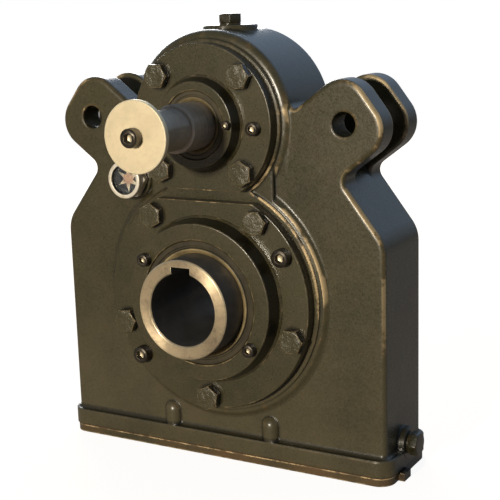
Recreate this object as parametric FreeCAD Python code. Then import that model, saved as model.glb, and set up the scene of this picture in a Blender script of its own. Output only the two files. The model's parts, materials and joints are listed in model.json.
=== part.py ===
import FreeCAD, Part
import math
import os
from FreeCAD import Vector

# A shaft mounted helical gearbox with one reduction. It hangs on the driven shaft by its hollow output shaft,
# and a torque arm pinned in one of its two forked lugs keeps it from turning.
# The origin is on the output axis, halfway between the front and rear walls. +Z is up and -Y is the input side.
# All sizes are in millimetres.

# Gear pair: one helical pinion drives one helical wheel
NORMAL_MODULE = 3.0
HELIX_DEG = 15.0
PRESSURE_DEG = 20.0
PINION_TEETH = 14
WHEEL_TEETH = 71
PROFILE_SHIFT = 0.2
BACKLASH = 0.6
TIP_CLEARANCE = 0.75
WHEEL_FACE = 34.0
PINION_FACE = 38.0
SECTION_TURN_DEG = 4.5

# Wheel blank
HUB_WALL = 17.0
RIM_WALL = 11.0
WEB_THICK = 14.0
WEB_HOLES = 6
WEB_HOLE = 26.0

# Hollow output shaft
BORE = 55.0
BORE_KEYWAY_WIDTH = 16.0
BORE_KEYWAY_DEPTH = 4.3
HOLLOW_WALL = 10.0
WHEEL_SEAT_RISE = 3.5
COLLAR_RISE = 6.0
SPACER_LENGTH = 3.5
NOSE_LENGTH = 21.9
NOSE_CHAMFER = 1.0
WHEEL_KEY_WIDTH = 16.0
WHEEL_KEY_HEIGHT = 10.0
WHEEL_KEY_DEPTH = 6.0
WHEEL_KEY_SETBACK = 2.0

# Input pinion shaft
SHAFT_END = 30.0
SHAFT_END_LENGTH = 43.0
SHAFT_STEP = 2.5
SHAFT_STEP_REACH = 26.8
PINION_COLLAR_RISE = 3.5
SHAFT_CHAMFER = 1.0
SHAFT_KEY_WIDTH = 8.0
SHAFT_KEY_HEIGHT = 7.0
SHAFT_KEY_DEPTH = 4.0
SHAFT_KEY_LENGTH = 32.0
SHAFT_KEY_SETBACK = 4.0
SHAFT_KEY_DEG = 215.0
WASHER_OVERLAP = 10.2
WASHER_THICK = 4.0
WASHER_CHAMFER = 0.5

# Ball bearings: the bore is the journal, and the section is the height of the ring gap
OUTPUT_BEARING_SECTION = 20.0
OUTPUT_BEARING_WIDTH = 20.0
OUTPUT_BALL = 12.0
OUTPUT_BALL_COUNT = 13
INPUT_BEARING_SECTION = 18.5
INPUT_BEARING_WIDTH = 17.0
INPUT_BALL = 11.0
INPUT_BALL_COUNT = 9
RING_CHAMFER = 0.8
RACE_SHARE = 0.3
BALL_CLEARANCE = 0.25
POCKET_CLEARANCE = 0.15
CAGE_THICK = 2.6
CAGE_EDGE = 1.4

# Shaft seals
OUTPUT_SEAL_SECTION = 10.0
OUTPUT_SEAL_WIDTH = 10.0
INPUT_SEAL_SECTION = 7.5
INPUT_SEAL_WIDTH = 7.0
SEAL_RECESS = 0.5
SEAL_SKIN = 1.8
SEAL_LIP = 3.0
SEAL_LEAD = 0.6
LIP_CLEARANCE = 0.08

# Bearing covers and seal carriers
COVER_LIP = 7.0
FLANGE_THICK = 8.5
FLANGE_ROUND = 0.8
COVER_GASKET = 0.5
OUTPUT_SPIGOT_WALL = 6.2
OUTPUT_FLANGE_LAND = 21.9
INPUT_SPIGOT_WALL = 6.0
INPUT_FLANGE_LAND = 16.4
OUTPUT_CARRIER_WALL = 15.4
OUTPUT_CARRIER_HEIGHT = 13.4
INPUT_CARRIER_WALL = 9.4
INPUT_CARRIER_HEIGHT = 9.8
CARRIER_DRAFT = 2.8
CARRIER_ROUND = 0.8
CARRIER_FOOT = 1.5
CARRIER_REGISTER = 3.0
CARRIER_SHOULDER = 4.0
REAR_CAP_HEIGHT = 6.0
REAR_CAP_RECESS = 2.0
INPUT_FLAT_LAND = 6.85
COVER_SPLIT = 8.3

# Screws and bolts
COVER_BOLT = 10.0
COVER_BOLT_FLATS = 17.0
COVER_BOLT_HEAD = 6.6
COVER_BOLT_GRIP = 11.0
OUTPUT_BOLT_COUNT = 5
OUTPUT_BOLT_INSET = 9.0
OUTPUT_BOLT_DEG = -90.0
INPUT_BOLT_COUNT = 4
INPUT_BOLT_INSET = 9.4
INPUT_BOLT_DEG = 45.0
OUTPUT_JACK_SCREW = 8.0
OUTPUT_JACK_DEGS = (30.0, 220.0)
INPUT_JACK_SCREW = 6.0
INPUT_JACK_INSET = 13.0
INPUT_JACK_DEGS = (-2.5, 177.5)
OUTPUT_CARRIER_SCREW = 6.0
OUTPUT_CARRIER_SCREW_DEG = 146.0
INPUT_CARRIER_SCREW = 4.0
INPUT_CARRIER_SCREW_DEG = 2.0
CARRIER_SCREW_GRIP = 5.0
RETAINING_SCREW = 8.0
RETAINING_SCREW_GRIP = 20.0
HEX_FACE_SHARE = 0.95
HEX_CHAMFER_DEG = 30.0
CAP_HEAD_SHARE = 1.66
SOCKET_SHARE = 0.78
SOCKET_DEPTH_SHARE = 0.55
CAP_EDGE_SHARE = 0.08

# Housing casting
WALL = 9.0
WHEEL_SIDE_ROOM = 17.1
WHEEL_SUMP_ROOM = 10.5
PAD_HEIGHT = 5.0
SEAT_STEP = 1.5
PAD_SHELF = 2.9
PAD_DRAFT = 3.4
PAD_ROUND = 1.0
PAD_FLARE = 1.5
OUTPUT_PAD_LEDGE = 3.9
INPUT_PAD_LEDGE = 2.4
INPUT_PAD_DRAFT = 0.8
BRIDGE_WIDTH = 106.6
HUMP_RISE = 2.5
HUMP_LEDGE = 8.9
HUMP_ROUND = 6.0
SKIRT_STEP = 0.4
SKIRT_DROP = 36.0
SHOULDER_DEG = 37.0
SHOULDER_ROUND = 25.0
SLOPE_INSET = 6.2
EDGE_ROUND = 3.5

# Torque arm lugs
LUG_HOLE = 18.0
LUG_REACH = 26.1
LUG_END = 25.5
LUG_WIDTH = 59.6
LUG_HOLE_DROP = 30.9
LUG_HUMP_GAP = 5.3
LUG_THICK = 20.5
LUG_CORNER = 21.5
LUG_ROOT_ROUND = 8.0
LUG_TOP_ROUND_SHARE = 0.6
LUG_INNER_ROUND = 1.5

# Foot flange and inspection cover
FOOT_THICK = 13.2
FOOT_REACH = 5.2
FOOT_CORNER = 13.0
FOOT_FILLET_SHARE = 0.6
FOOT_EDGE_SHARE = 0.15
FOOT_GASKET = 0.8
INSPECTION_COVER = 6.0
COVER_INSET = 1.0
PRY_TAB = 4.0
PRY_TAB_WIDTH = 12.0
PRY_TAB_Y = -14.0
FOOT_SCREW = 5.0
FOOT_SCREW_LENGTH = 22.0
FOOT_SCREW_SPAN = 88.2
FOOT_CORNER_EDGE_X = 12.0
FOOT_CORNER_EDGE_Y = 10.0
FOOT_BOSS = 14.2
FOOT_BOSS_HEIGHT = 19.0

# Oil plugs
TOP_PAD = 41.0
TOP_PAD_RISE = 2.5
TOP_PAD_CHAMFER = 0.8
PLUG_THREAD = 13.2
PLUG_FLATS = 16.0
PLUG_HEAD = 7.2
SIDE_PLUG_RISE = 16.2
SIDE_BOSS_WALL = 5.7
SIDE_BOSS_PROUD = 0.2
PLUG_REACH = 11.0
PLUG_TIP_CHAMFER = 1.0
PLUG_WASHER = 1.0

# Oil sight glass
SIGHT_X = -70.8
SIGHT_DROP = 44.7
SIGHT_PAD_HEIGHT = 3.0
SIGHT_PAD_WALL = 6.0
SIGHT_PAD_ROUND = 1.5
SIGHT_THREAD = 21.0
SIGHT_FLATS = 27.0
SIGHT_HEX_THICK = 6.5
SIGHT_RIM = 29.0
SIGHT_RIM_THICK = 4.5
SIGHT_RIM_CHAMFER = 0.8
SIGHT_RIM_WALL = 3.6
SIGHT_LENS_THICK = 2.5
SIGHT_LENS_SETBACK = 1.2
SIGHT_STAR_THICK = 1.0
SIGHT_STAR_DEPTH = 3.0
SIGHT_STAR_ARMS = 6
SIGHT_STAR_HOLE = 5.6
SIGHT_LEDGE = 2.5

# Room between faces that fit into each other
SEAT_GAP = 0.02
KEY_GAP = 0.05
SPIGOT_GAP = 0.05
THREAD_GAP = 0.08
HOLE_GAP = 0.4
HOLE_TIP = 1.5

# Gear sizes that follow
HELIX = math.radians(HELIX_DEG)
PRESSURE = math.radians(PRESSURE_DEG)
TRANSVERSE_MODULE = NORMAL_MODULE / math.cos(HELIX)
TRANSVERSE_PRESSURE = math.atan(math.tan(PRESSURE) / math.cos(HELIX))
PINION_PITCH_R = PINION_TEETH * TRANSVERSE_MODULE / 2
WHEEL_PITCH_R = WHEEL_TEETH * TRANSVERSE_MODULE / 2
WHEEL_TIP_R = WHEEL_PITCH_R + NORMAL_MODULE * (1 - PROFILE_SHIFT)
WHEEL_ROOT_R = WHEEL_PITCH_R - NORMAL_MODULE * (1 + PROFILE_SHIFT) - TIP_CLEARANCE
PINION_ROOT_R = PINION_PITCH_R - NORMAL_MODULE * (1 - PROFILE_SHIFT) - TIP_CLEARANCE
INPUT_Z = PINION_PITCH_R + WHEEL_PITCH_R

# Distances from the middle plane, outwards along Y
BEARING_INNER_Y = WHEEL_FACE / 2 + SPACER_LENGTH
BEARING_OUTER_Y = BEARING_INNER_Y + OUTPUT_BEARING_WIDTH
INPUT_BEARING_INNER_Y = BEARING_OUTER_Y - INPUT_BEARING_WIDTH
FLANGE_Y = BEARING_OUTER_Y + COVER_LIP
FLANGE_BACK_Y = FLANGE_Y - FLANGE_THICK
PAD_Y = FLANGE_BACK_Y - COVER_GASKET
SHELF_Y = PAD_Y - SEAT_STEP
FRONT_Y = PAD_Y - PAD_HEIGHT
CAVITY_Y = FRONT_Y - WALL
HUMP_Y = FRONT_Y + HUMP_RISE
OUTPUT_CARRIER_Y = FLANGE_Y + OUTPUT_CARRIER_HEIGHT
INPUT_CARRIER_Y = FLANGE_Y + INPUT_CARRIER_HEIGHT
NOSE_Y = OUTPUT_CARRIER_Y + NOSE_LENGTH
STEP_Y = INPUT_CARRIER_Y + SHAFT_STEP_REACH
SHAFT_TIP_Y = STEP_Y + SHAFT_END_LENGTH
WASHER_Y = SHAFT_TIP_Y + WASHER_THICK
FAR_Y = 2 * WASHER_Y

# Radii about the output axis
BORE_R = BORE / 2
OUTPUT_JOURNAL_R = BORE_R + HOLLOW_WALL
WHEEL_SEAT_R = OUTPUT_JOURNAL_R + WHEEL_SEAT_RISE
COLLAR_R = WHEEL_SEAT_R + COLLAR_RISE
OUTPUT_SEAL_R = OUTPUT_JOURNAL_R + OUTPUT_SEAL_SECTION
OUTPUT_BEARING_R = OUTPUT_JOURNAL_R + OUTPUT_BEARING_SECTION
OUTPUT_SPIGOT_R = OUTPUT_BEARING_R + OUTPUT_SPIGOT_WALL
OUTPUT_FLANGE_R = OUTPUT_SPIGOT_R + OUTPUT_FLANGE_LAND
OUTPUT_PAD_R = OUTPUT_FLANGE_R + OUTPUT_PAD_LEDGE
OUTPUT_BOLT_R = OUTPUT_FLANGE_R - OUTPUT_BOLT_INSET
OUTPUT_CARRIER_R = OUTPUT_SEAL_R + OUTPUT_CARRIER_WALL

# Radii about the input axis
SHAFT_END_R = SHAFT_END / 2
INPUT_JOURNAL_R = SHAFT_END_R + SHAFT_STEP
PINION_COLLAR_R = INPUT_JOURNAL_R + PINION_COLLAR_RISE
INPUT_SEAL_R = INPUT_JOURNAL_R + INPUT_SEAL_SECTION
INPUT_BEARING_R = INPUT_JOURNAL_R + INPUT_BEARING_SECTION
INPUT_SPIGOT_R = INPUT_BEARING_R + INPUT_SPIGOT_WALL
INPUT_FLANGE_R = INPUT_SPIGOT_R + INPUT_FLANGE_LAND
INPUT_PAD_R = INPUT_FLANGE_R + INPUT_PAD_LEDGE
INPUT_BOLT_R = INPUT_FLANGE_R - INPUT_BOLT_INSET
INPUT_JACK_R = INPUT_FLANGE_R - INPUT_JACK_INSET
INPUT_CARRIER_R = INPUT_SEAL_R + INPUT_CARRIER_WALL
HUMP_R = INPUT_FLANGE_R + HUMP_LEDGE

# The outside of the housing
HALF_WIDTH = WHEEL_TIP_R + WHEEL_SIDE_ROOM + WALL
FOOT_Z = -WHEEL_TIP_R - WHEEL_SUMP_ROOM
FOOT_TOP_Z = FOOT_Z + FOOT_THICK
COVER_TOP_Z = FOOT_Z - FOOT_GASKET
BASE_Z = COVER_TOP_Z - INSPECTION_COVER
FOOT_HALF_X = HALF_WIDTH + FOOT_REACH
FOOT_HALF_Y = FRONT_Y + FOOT_REACH
TOP_PAD_Z = INPUT_Z + HUMP_R + TOP_PAD_RISE
SIDE_PLUG_Z = FOOT_Z + SIDE_PLUG_RISE
SIDE_FACE_X = FOOT_HALF_X + SIDE_BOSS_PROUD
SIGHT_Z = INPUT_Z - SIGHT_DROP
SIGHT_SEAT_Y = FRONT_Y + SIGHT_PAD_HEIGHT
INPUT_FLAT_Z = INPUT_Z - INPUT_SPIGOT_R - INPUT_FLAT_LAND
OUTPUT_FLAT_Z = INPUT_FLAT_Z - COVER_SPLIT

# The right shoulder's slope: its outward and upward directions, and where it starts and meets the hump
SLOPE = math.radians(SHOULDER_DEG)
SLOPE_OUT = Vector(math.cos(SLOPE), 0, math.sin(SLOPE))
SLOPE_UP = Vector(-math.sin(SLOPE), 0, math.cos(SLOPE))
HUMP_CENTRE = Vector(0, 0, INPUT_Z)
SLOPE_FROM_HUMP = HUMP_R - SLOPE_INSET
SLOPE_AT = SLOPE_OUT.dot(HUMP_CENTRE) + SLOPE_FROM_HUMP
SHOULDER = Vector(HALF_WIDTH, 0, (SLOPE_AT - SLOPE_OUT.x * HALF_WIDTH) / SLOPE_OUT.z)
HUMP_HALF_CHORD = math.sqrt(HUMP_R ** 2 - SLOPE_FROM_HUMP ** 2)
LUG_HIGH = SLOPE_UP.dot(HUMP_CENTRE - SHOULDER) - HUMP_HALF_CHORD - LUG_HUMP_GAP
LUG_LOW = LUG_HIGH - LUG_WIDTH
LUG_HOLE_ALONG = LUG_HIGH - LUG_HOLE_DROP

Y_AXIS = Vector(0, 1, 0)
CENTRE = Vector(0, 0, 0)
TINY = 1e-4


# Basic forms


def rod(radius, y0, y1, x=0.0, z=0.0):
    """A round bar along Y."""
    return Part.makeCylinder(radius, abs(y1 - y0), Vector(x, min(y0, y1), z), Y_AXIS)


def sleeve(outer, inner, y0, y1, z=0.0):
    """A round tube along Y."""
    return rod(outer, y0, y1, 0, z).cut(rod(inner, -FAR_Y, FAR_Y, 0, z))


def turned(outline, z=0.0):
    """A turned piece about the axis at height z. The outline is a list of (radius, y) corners."""
    corners = [Vector(radius, y, 0) for radius, y in outline]
    face = Part.Face(Part.makePolygon(corners + corners[:1]))
    piece = face.revolve(CENTRE, Y_AXIS, 360)
    piece.translate(Vector(0, 0, z))
    return piece


def slab(corners, y0, y1):
    """A flat plate between two Y planes, from corners in the XZ plane."""
    face = Part.Face(Part.makePolygon(corners + corners[:1]))
    face.translate(Vector(0, min(y0, y1), 0))
    return face.extrude(Vector(0, abs(y1 - y0), 0))


def half_space(z0, z1):
    """Everything between two heights."""
    reach = 4 * FOOT_HALF_X
    return Part.makeBox(2 * reach, 2 * reach, z1 - z0, Vector(-reach, -reach, z0))


def ring_of_places(count, radius, start_deg, z=0.0):
    """The (x, z) of places spaced evenly round an axis."""
    turns = [math.radians(start_deg + 360.0 * n / count) for n in range(count)]
    return [(radius * math.cos(turn), z + radius * math.sin(turn)) for turn in turns]


def hexagon(flats, y0, y1, x=0.0, z=0.0):
    """A hexagonal bar along Y, with the corners of its y1 end turned off."""
    corner_r = flats / math.sqrt(3)
    face_r = flats / 2 * HEX_FACE_SHARE
    corners = [Vector(px, 0, pz) for px, pz in ring_of_places(6, corner_r, 0)]
    fall = (corner_r - face_r) * math.tan(math.radians(HEX_CHAMFER_DEG))
    edge_y = y1 - math.copysign(fall, y1 - y0)
    blank = turned([(0, y0), (corner_r, y0), (corner_r, edge_y), (face_r, y1), (0, y1)])
    bar = slab(corners, y0, y1).common(blank)
    bar.translate(Vector(x, 0, z))
    return bar


def to_rear(shape):
    return shape.mirror(CENTRE, Y_AXIS)


def to_left(shape):
    return shape.mirror(CENTRE, Vector(1, 0, 0))


def drilled(shape, places, radius, y0, y1):
    for x, z in places:
        shape = shape.cut(rod(radius, y0, y1, x, z))
    return shape


def facing_right(shape, x, z):
    """Turns a piece that faces -Y so that it faces +X, with its origin at (x, 0, z)."""
    shape.rotate(CENTRE, Vector(0, 0, 1), 90)
    shape.translate(Vector(x, 0, z))
    return shape


def facing_up(shape, z):
    """Turns a piece that faces -Y so that it faces +Z, with its origin at height z."""
    shape.rotate(CENTRE, Vector(1, 0, 0), -90)
    shape.translate(Vector(0, 0, z))
    return shape


# Edges to round


def is_along_y(edge):
    box = edge.BoundBox
    return box.XLength < TINY and box.ZLength < TINY


def lies_at_y(edge, y):
    box = edge.BoundBox
    return abs(box.YMin - y) < TINY and abs(box.YMax - y) < TINY


def lies_at_z(edge, z):
    box = edge.BoundBox
    return abs(box.ZMin - z) < TINY and abs(box.ZMax - z) < TINY


def is_circle(edge, y, radius):
    return lies_at_y(edge, y) and abs(edge.BoundBox.XLength - 2 * radius) < TINY


def rounded(shape, radius, wanted):
    return shape.makeFillet(radius, [edge for edge in shape.Edges if wanted(edge)])


def round_corners(shape, radius, corners):
    """Rounds the edges along Y that pass through the given corners of the XZ plane."""

    def is_wanted(edge):
        start = edge.Vertexes[0].Point
        return is_along_y(edge) and any(math.hypot(start.x - c.x, start.z - c.z) < TINY for c in corners)

    return rounded(shape, radius, is_wanted)


# Screws, bolts and plugs


def hex_bolt(x, z):
    """One hexagon bolt of the covers, pushed in from the front."""
    head = hexagon(COVER_BOLT_FLATS, -FLANGE_Y, -FLANGE_Y - COVER_BOLT_HEAD, x, z)
    return head.fuse(rod(COVER_BOLT / 2, -FLANGE_Y, -PAD_Y + COVER_BOLT_GRIP, x, z)).removeSplitter()


def cap_screw(thread, length, seat_y, x, z):
    """A socket head cap screw pushed in from the front. Its head and socket follow the thread."""
    head_r = thread * CAP_HEAD_SHARE / 2
    edge = thread * CAP_EDGE_SHARE
    tip_y = seat_y + length
    face_y = seat_y - thread
    outline = [(0, tip_y), (thread / 2, tip_y), (thread / 2, seat_y), (head_r, seat_y),
               (head_r, face_y + edge), (head_r - edge, face_y), (0, face_y)]
    socket_r = thread * SOCKET_SHARE / math.sqrt(3)
    socket = [Vector(px, 0, pz) for px, pz in ring_of_places(6, socket_r, 0)]
    screw = turned(outline).cut(slab(socket, face_y, face_y + thread * SOCKET_DEPTH_SHARE))
    screw.translate(Vector(x, 0, z))
    return screw


def oil_plug():
    """A hexagon plug that faces -Y. Its head sits at y = 0."""
    thread_r = PLUG_THREAD / 2
    outline = [(0, PLUG_REACH), (thread_r - PLUG_TIP_CHAMFER, PLUG_REACH),
               (thread_r, PLUG_REACH - PLUG_TIP_CHAMFER), (thread_r, 0), (0, 0)]
    return turned(outline).fuse(hexagon(PLUG_FLATS, 0, -PLUG_HEAD)).removeSplitter()


def plug_washer():
    """The soft ring under a plug's head."""
    return sleeve(PLUG_FLATS / 2, PLUG_THREAD / 2 + THREAD_GAP, 0, PLUG_WASHER)


# Gears


def involute(angle):
    return math.tan(angle) - angle


def gear_outline(teeth, shift, turn, y):
    """The outline of a gear in the plane at y, as one wire. One tooth is centred on the angle turn."""
    pitch_r = teeth * TRANSVERSE_MODULE / 2
    base_r = pitch_r * math.cos(TRANSVERSE_PRESSURE)
    tip_r = pitch_r + NORMAL_MODULE * (1 + shift)
    root_r = pitch_r - NORMAL_MODULE * (1 - shift) - TIP_CLEARANCE
    start_r = max(base_r, root_r)
    middle_r = (start_r + tip_r) / 2
    half_tooth = (math.pi / 2 + 2 * shift * math.tan(PRESSURE)) / teeth - BACKLASH / 4 / pitch_r
    base_angle = half_tooth + involute(TRANSVERSE_PRESSURE)
    step = 2 * math.pi / teeth

    def flank(radius):
        return base_angle - involute(math.acos(min(1.0, base_r / radius)))

    def point(radius, angle):
        return Vector(radius * math.cos(angle), y, radius * math.sin(angle))

    edges = []
    for n in range(teeth):
        middle = turn + n * step
        rise = [point(root_r, middle - flank(start_r)), point(middle_r, middle - flank(middle_r)),
                point(tip_r, middle - flank(tip_r))]
        fall = [point(tip_r, middle + flank(tip_r)), point(middle_r, middle + flank(middle_r)),
                point(root_r, middle + flank(start_r))]
        next_foot = point(root_r, middle + step - flank(start_r))
        edges.append(Part.Arc(*rise).toShape())
        edges.append(Part.Arc(rise[2], point(tip_r, middle), fall[0]).toShape())
        edges.append(Part.Arc(*fall).toShape())
        edges.append(Part.Arc(fall[2], point(root_r, middle + step / 2), next_foot).toShape())
    return Part.Wire(edges)


def helical_gear(teeth, shift, face, hand, turn):
    """Helical teeth about the middle plane. Each section is turned a little further along the helix."""
    pitch_r = teeth * TRANSVERSE_MODULE / 2
    twist = math.tan(HELIX) / pitch_r
    steps = math.ceil(math.degrees(face * twist) / SECTION_TURN_DEG)
    wires = []
    for n in range(steps + 1):
        y = face * (n / steps - 0.5)
        wires.append(gear_outline(teeth, shift, turn + hand * y * twist, y))
    return Part.makeLoft(wires, True, False)


def output_gear():
    """The wheel: helical teeth on a rim, a thin web with round holes, and a hub on the hollow shaft."""
    space_at_top = math.pi / 2 + math.pi / WHEEL_TEETH
    wheel = helical_gear(WHEEL_TEETH, -PROFILE_SHIFT, WHEEL_FACE, 1, space_at_top)
    hub_r = WHEEL_SEAT_R + HUB_WALL
    rim_r = WHEEL_ROOT_R - RIM_WALL
    recess = sleeve(rim_r, hub_r, -WEB_THICK / 2, -WHEEL_FACE)
    wheel = wheel.cut([recess, to_rear(recess), rod(WHEEL_SEAT_R + SEAT_GAP, -WHEEL_FACE, WHEEL_FACE)])
    web_holes = ring_of_places(WEB_HOLES, (hub_r + rim_r) / 2, 0)
    wheel = drilled(wheel, web_holes, WEB_HOLE / 2, -WHEEL_FACE, WHEEL_FACE)
    return wheel.cut(wheel_key(KEY_GAP, WHEEL_FACE))


def wheel_key(grow, half_length):
    """The wheel's key under the shaft, or the slot for it when grown."""
    width = WHEEL_KEY_WIDTH + 2 * grow
    height = WHEEL_KEY_HEIGHT + 2 * grow
    bottom = WHEEL_SEAT_R - WHEEL_KEY_DEPTH + WHEEL_KEY_HEIGHT + grow
    return Part.makeBox(width, 2 * half_length, height, Vector(-width / 2, -half_length, -bottom))


def output_gear_key():
    return wheel_key(0, WHEEL_FACE / 2 - WHEEL_KEY_SETBACK)


def output_gear_spacer():
    """The short sleeve between the wheel and the front bearing."""
    return sleeve(COLLAR_R, WHEEL_SEAT_R + SEAT_GAP, -BEARING_INNER_Y + SEAT_GAP, -WHEEL_FACE / 2 - SEAT_GAP)


def hollow_output_shaft():
    """The hollow shaft: keyed bore, bearing journals, wheel seat, and the collar behind the wheel."""
    c = NOSE_CHAMFER
    collar_y = WHEEL_FACE / 2 + SEAT_GAP
    outline = [(BORE_R + c, -NOSE_Y), (OUTPUT_JOURNAL_R - c, -NOSE_Y), (OUTPUT_JOURNAL_R, -NOSE_Y + c),
               (OUTPUT_JOURNAL_R, -BEARING_INNER_Y), (WHEEL_SEAT_R, -BEARING_INNER_Y), (WHEEL_SEAT_R, collar_y),
               (COLLAR_R, collar_y), (COLLAR_R, BEARING_INNER_Y), (OUTPUT_JOURNAL_R, BEARING_INNER_Y),
               (OUTPUT_JOURNAL_R, NOSE_Y - c), (OUTPUT_JOURNAL_R - c, NOSE_Y), (BORE_R + c, NOSE_Y),
               (BORE_R, NOSE_Y - c), (BORE_R, -NOSE_Y + c)]
    keyway = Part.makeBox(BORE_KEYWAY_WIDTH, 2 * FAR_Y, BORE_R + BORE_KEYWAY_DEPTH,
                          Vector(-BORE_KEYWAY_WIDTH / 2, -FAR_Y, 0))
    pocket = wheel_key(KEY_GAP, WHEEL_FACE / 2 - WHEEL_KEY_SETBACK + KEY_GAP)
    return turned(outline).cut([keyway, pocket])


def shaft_key(grow):
    """The key in the end of the input shaft, or the slot for it when grown. Its ends are round."""
    half = SHAFT_KEY_WIDTH / 2 + grow
    floor = SHAFT_END_R - SHAFT_KEY_DEPTH - grow
    height = SHAFT_KEY_HEIGHT + 2 * grow
    y0 = -SHAFT_TIP_Y + SHAFT_KEY_SETBACK + SHAFT_KEY_WIDTH / 2
    y1 = y0 + SHAFT_KEY_LENGTH - SHAFT_KEY_WIDTH
    bar = Part.makeBox(2 * half, y1 - y0, height, Vector(-half, y0, floor))
    bar = bar.fuse([Part.makeCylinder(half, height, Vector(0, y, floor)) for y in (y0, y1)]).removeSplitter()
    bar.rotate(CENTRE, Y_AXIS, 90 - SHAFT_KEY_DEG)
    bar.translate(HUMP_CENTRE)
    return bar


def input_pinion_shaft():
    """The input shaft with its pinion cut from the solid, two bearing journals and a keyed end for a pulley."""
    c = SHAFT_CHAMFER
    half_face = PINION_FACE / 2
    core_r = PINION_ROOT_R - TIP_CLEARANCE
    outline = [(0, -SHAFT_TIP_Y), (SHAFT_END_R - c, -SHAFT_TIP_Y), (SHAFT_END_R, -SHAFT_TIP_Y + c),
               (SHAFT_END_R, -STEP_Y), (INPUT_JOURNAL_R - c, -STEP_Y), (INPUT_JOURNAL_R, -STEP_Y + c),
               (INPUT_JOURNAL_R, -INPUT_BEARING_INNER_Y), (PINION_COLLAR_R, -INPUT_BEARING_INNER_Y),
               (PINION_COLLAR_R, -half_face), (core_r, -half_face), (core_r, half_face),
               (PINION_COLLAR_R, half_face), (PINION_COLLAR_R, INPUT_BEARING_INNER_Y),
               (INPUT_JOURNAL_R, INPUT_BEARING_INNER_Y), (INPUT_JOURNAL_R, BEARING_OUTER_Y - c),
               (INPUT_JOURNAL_R - c, BEARING_OUTER_Y), (0, BEARING_OUTER_Y)]
    pinion = helical_gear(PINION_TEETH, PROFILE_SHIFT, PINION_FACE, -1, -math.pi / 2)
    pinion.translate(HUMP_CENTRE)
    screw_hole = rod(RETAINING_SCREW / 2 + THREAD_GAP, -WASHER_Y, -SHAFT_TIP_Y + RETAINING_SCREW_GRIP + HOLE_TIP,
                     0, INPUT_Z)
    return turned(outline, INPUT_Z).fuse(pinion).cut([screw_hole, shaft_key(KEY_GAP)])


def retaining_washer():
    """The plain washer that keeps a pulley on the shaft end."""
    c = WASHER_CHAMFER
    rim_r = SHAFT_END_R + WASHER_OVERLAP
    hole_r = RETAINING_SCREW / 2 + HOLE_GAP
    outline = [(hole_r, -WASHER_Y), (rim_r - c, -WASHER_Y), (rim_r, -WASHER_Y + c), (rim_r, -SHAFT_TIP_Y - c),
               (rim_r - c, -SHAFT_TIP_Y), (hole_r, -SHAFT_TIP_Y)]
    return turned(outline, INPUT_Z)


def retaining_screw():
    return cap_screw(RETAINING_SCREW, WASHER_THICK + RETAINING_SCREW_GRIP, -WASHER_Y, 0, INPUT_Z)


# Bearings and seals


def ball_bearing(journal_r, section, y0, y1, ball, count, z):
    """A deep groove ball bearing between two Y planes: its outer ring, inner ring, balls and cage."""
    c = RING_CHAMFER
    bore_r = journal_r + SEAT_GAP
    rim_r = journal_r + section - SEAT_GAP
    pitch_r = journal_r + section / 2
    middle = (y0 + y1) / 2
    groove = Part.makeTorus(pitch_r, ball / 2 + BALL_CLEARANCE, Vector(0, middle, 0), Y_AXIS)
    high_r = pitch_r + ball * RACE_SHARE
    low_r = pitch_r - ball * RACE_SHARE
    outer = turned([(high_r, y0), (rim_r - c, y0), (rim_r, y0 + c), (rim_r, y1 - c), (rim_r - c, y1),
                    (high_r, y1)])
    inner = turned([(bore_r + c, y0), (low_r, y0), (low_r, y1), (bore_r + c, y1), (bore_r, y1 - c),
                    (bore_r, y0 + c)])
    places = ring_of_places(count, pitch_r, 90)
    pocket_r = ball / 2 + POCKET_CLEARANCE
    reach = pocket_r + CAGE_EDGE
    hub = Vector(0, middle, 0)
    cage = sleeve(pitch_r + CAGE_THICK / 2, pitch_r - CAGE_THICK / 2, middle - reach, middle + reach)
    for px, pz in places:
        cage = cage.cut(Part.makeCylinder(pocket_r, rim_r, hub, Vector(px, 0, pz)))
    balls = Part.Compound([Part.makeSphere(ball / 2, Vector(px, middle, pz)) for px, pz in places])
    pieces = [outer.cut(groove), inner.cut(groove), balls, cage]
    for piece in pieces:
        piece.translate(Vector(0, 0, z))
    return dict(zip(("outer_ring", "inner_ring", "balls", "cage"), pieces))


def shaft_seal(journal_r, section, width, carrier_y, z):
    """A shaft seal pressed in from the front: an outer band, a front wall and a lip that runs on the shaft."""
    face_y = -carrier_y + SEAL_RECESS
    back_y = face_y + width
    wall_y = face_y + SEAL_SKIN
    tip_y = (face_y + back_y) / 2
    rim_r = journal_r + section - SEAT_GAP
    lip_r = journal_r + LIP_CLEARANCE
    throat_r = lip_r + SEAL_LIP
    outline = [(rim_r, face_y), (throat_r + SEAL_SKIN / 2, face_y), (throat_r, face_y + SEAL_SKIN / 2),
               (throat_r, wall_y), (lip_r, tip_y), (lip_r + SEAL_SKIN, back_y - SEAL_SKIN),
               (lip_r + 2 * SEAL_SKIN, tip_y), (throat_r + SEAL_SKIN, wall_y), (rim_r - SEAL_SKIN, wall_y),
               (rim_r - SEAL_SKIN, back_y), (rim_r, back_y)]
    return turned(outline, z)


# Covers, carriers and gaskets


def output_bolt_places():
    return ring_of_places(OUTPUT_BOLT_COUNT, OUTPUT_BOLT_R, OUTPUT_BOLT_DEG)


def output_jack_places():
    return [ring_of_places(1, OUTPUT_BOLT_R, deg)[0] for deg in OUTPUT_JACK_DEGS]


def output_carrier_places():
    middle_r = OUTPUT_SEAL_R + (OUTPUT_CARRIER_WALL - CARRIER_DRAFT) / 2
    return ring_of_places(2, middle_r, OUTPUT_CARRIER_SCREW_DEG)


def input_bolt_places():
    return ring_of_places(INPUT_BOLT_COUNT, INPUT_BOLT_R, INPUT_BOLT_DEG, INPUT_Z)


def input_jack_places():
    return [ring_of_places(1, INPUT_JACK_R, deg, INPUT_Z)[0] for deg in INPUT_JACK_DEGS]


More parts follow.
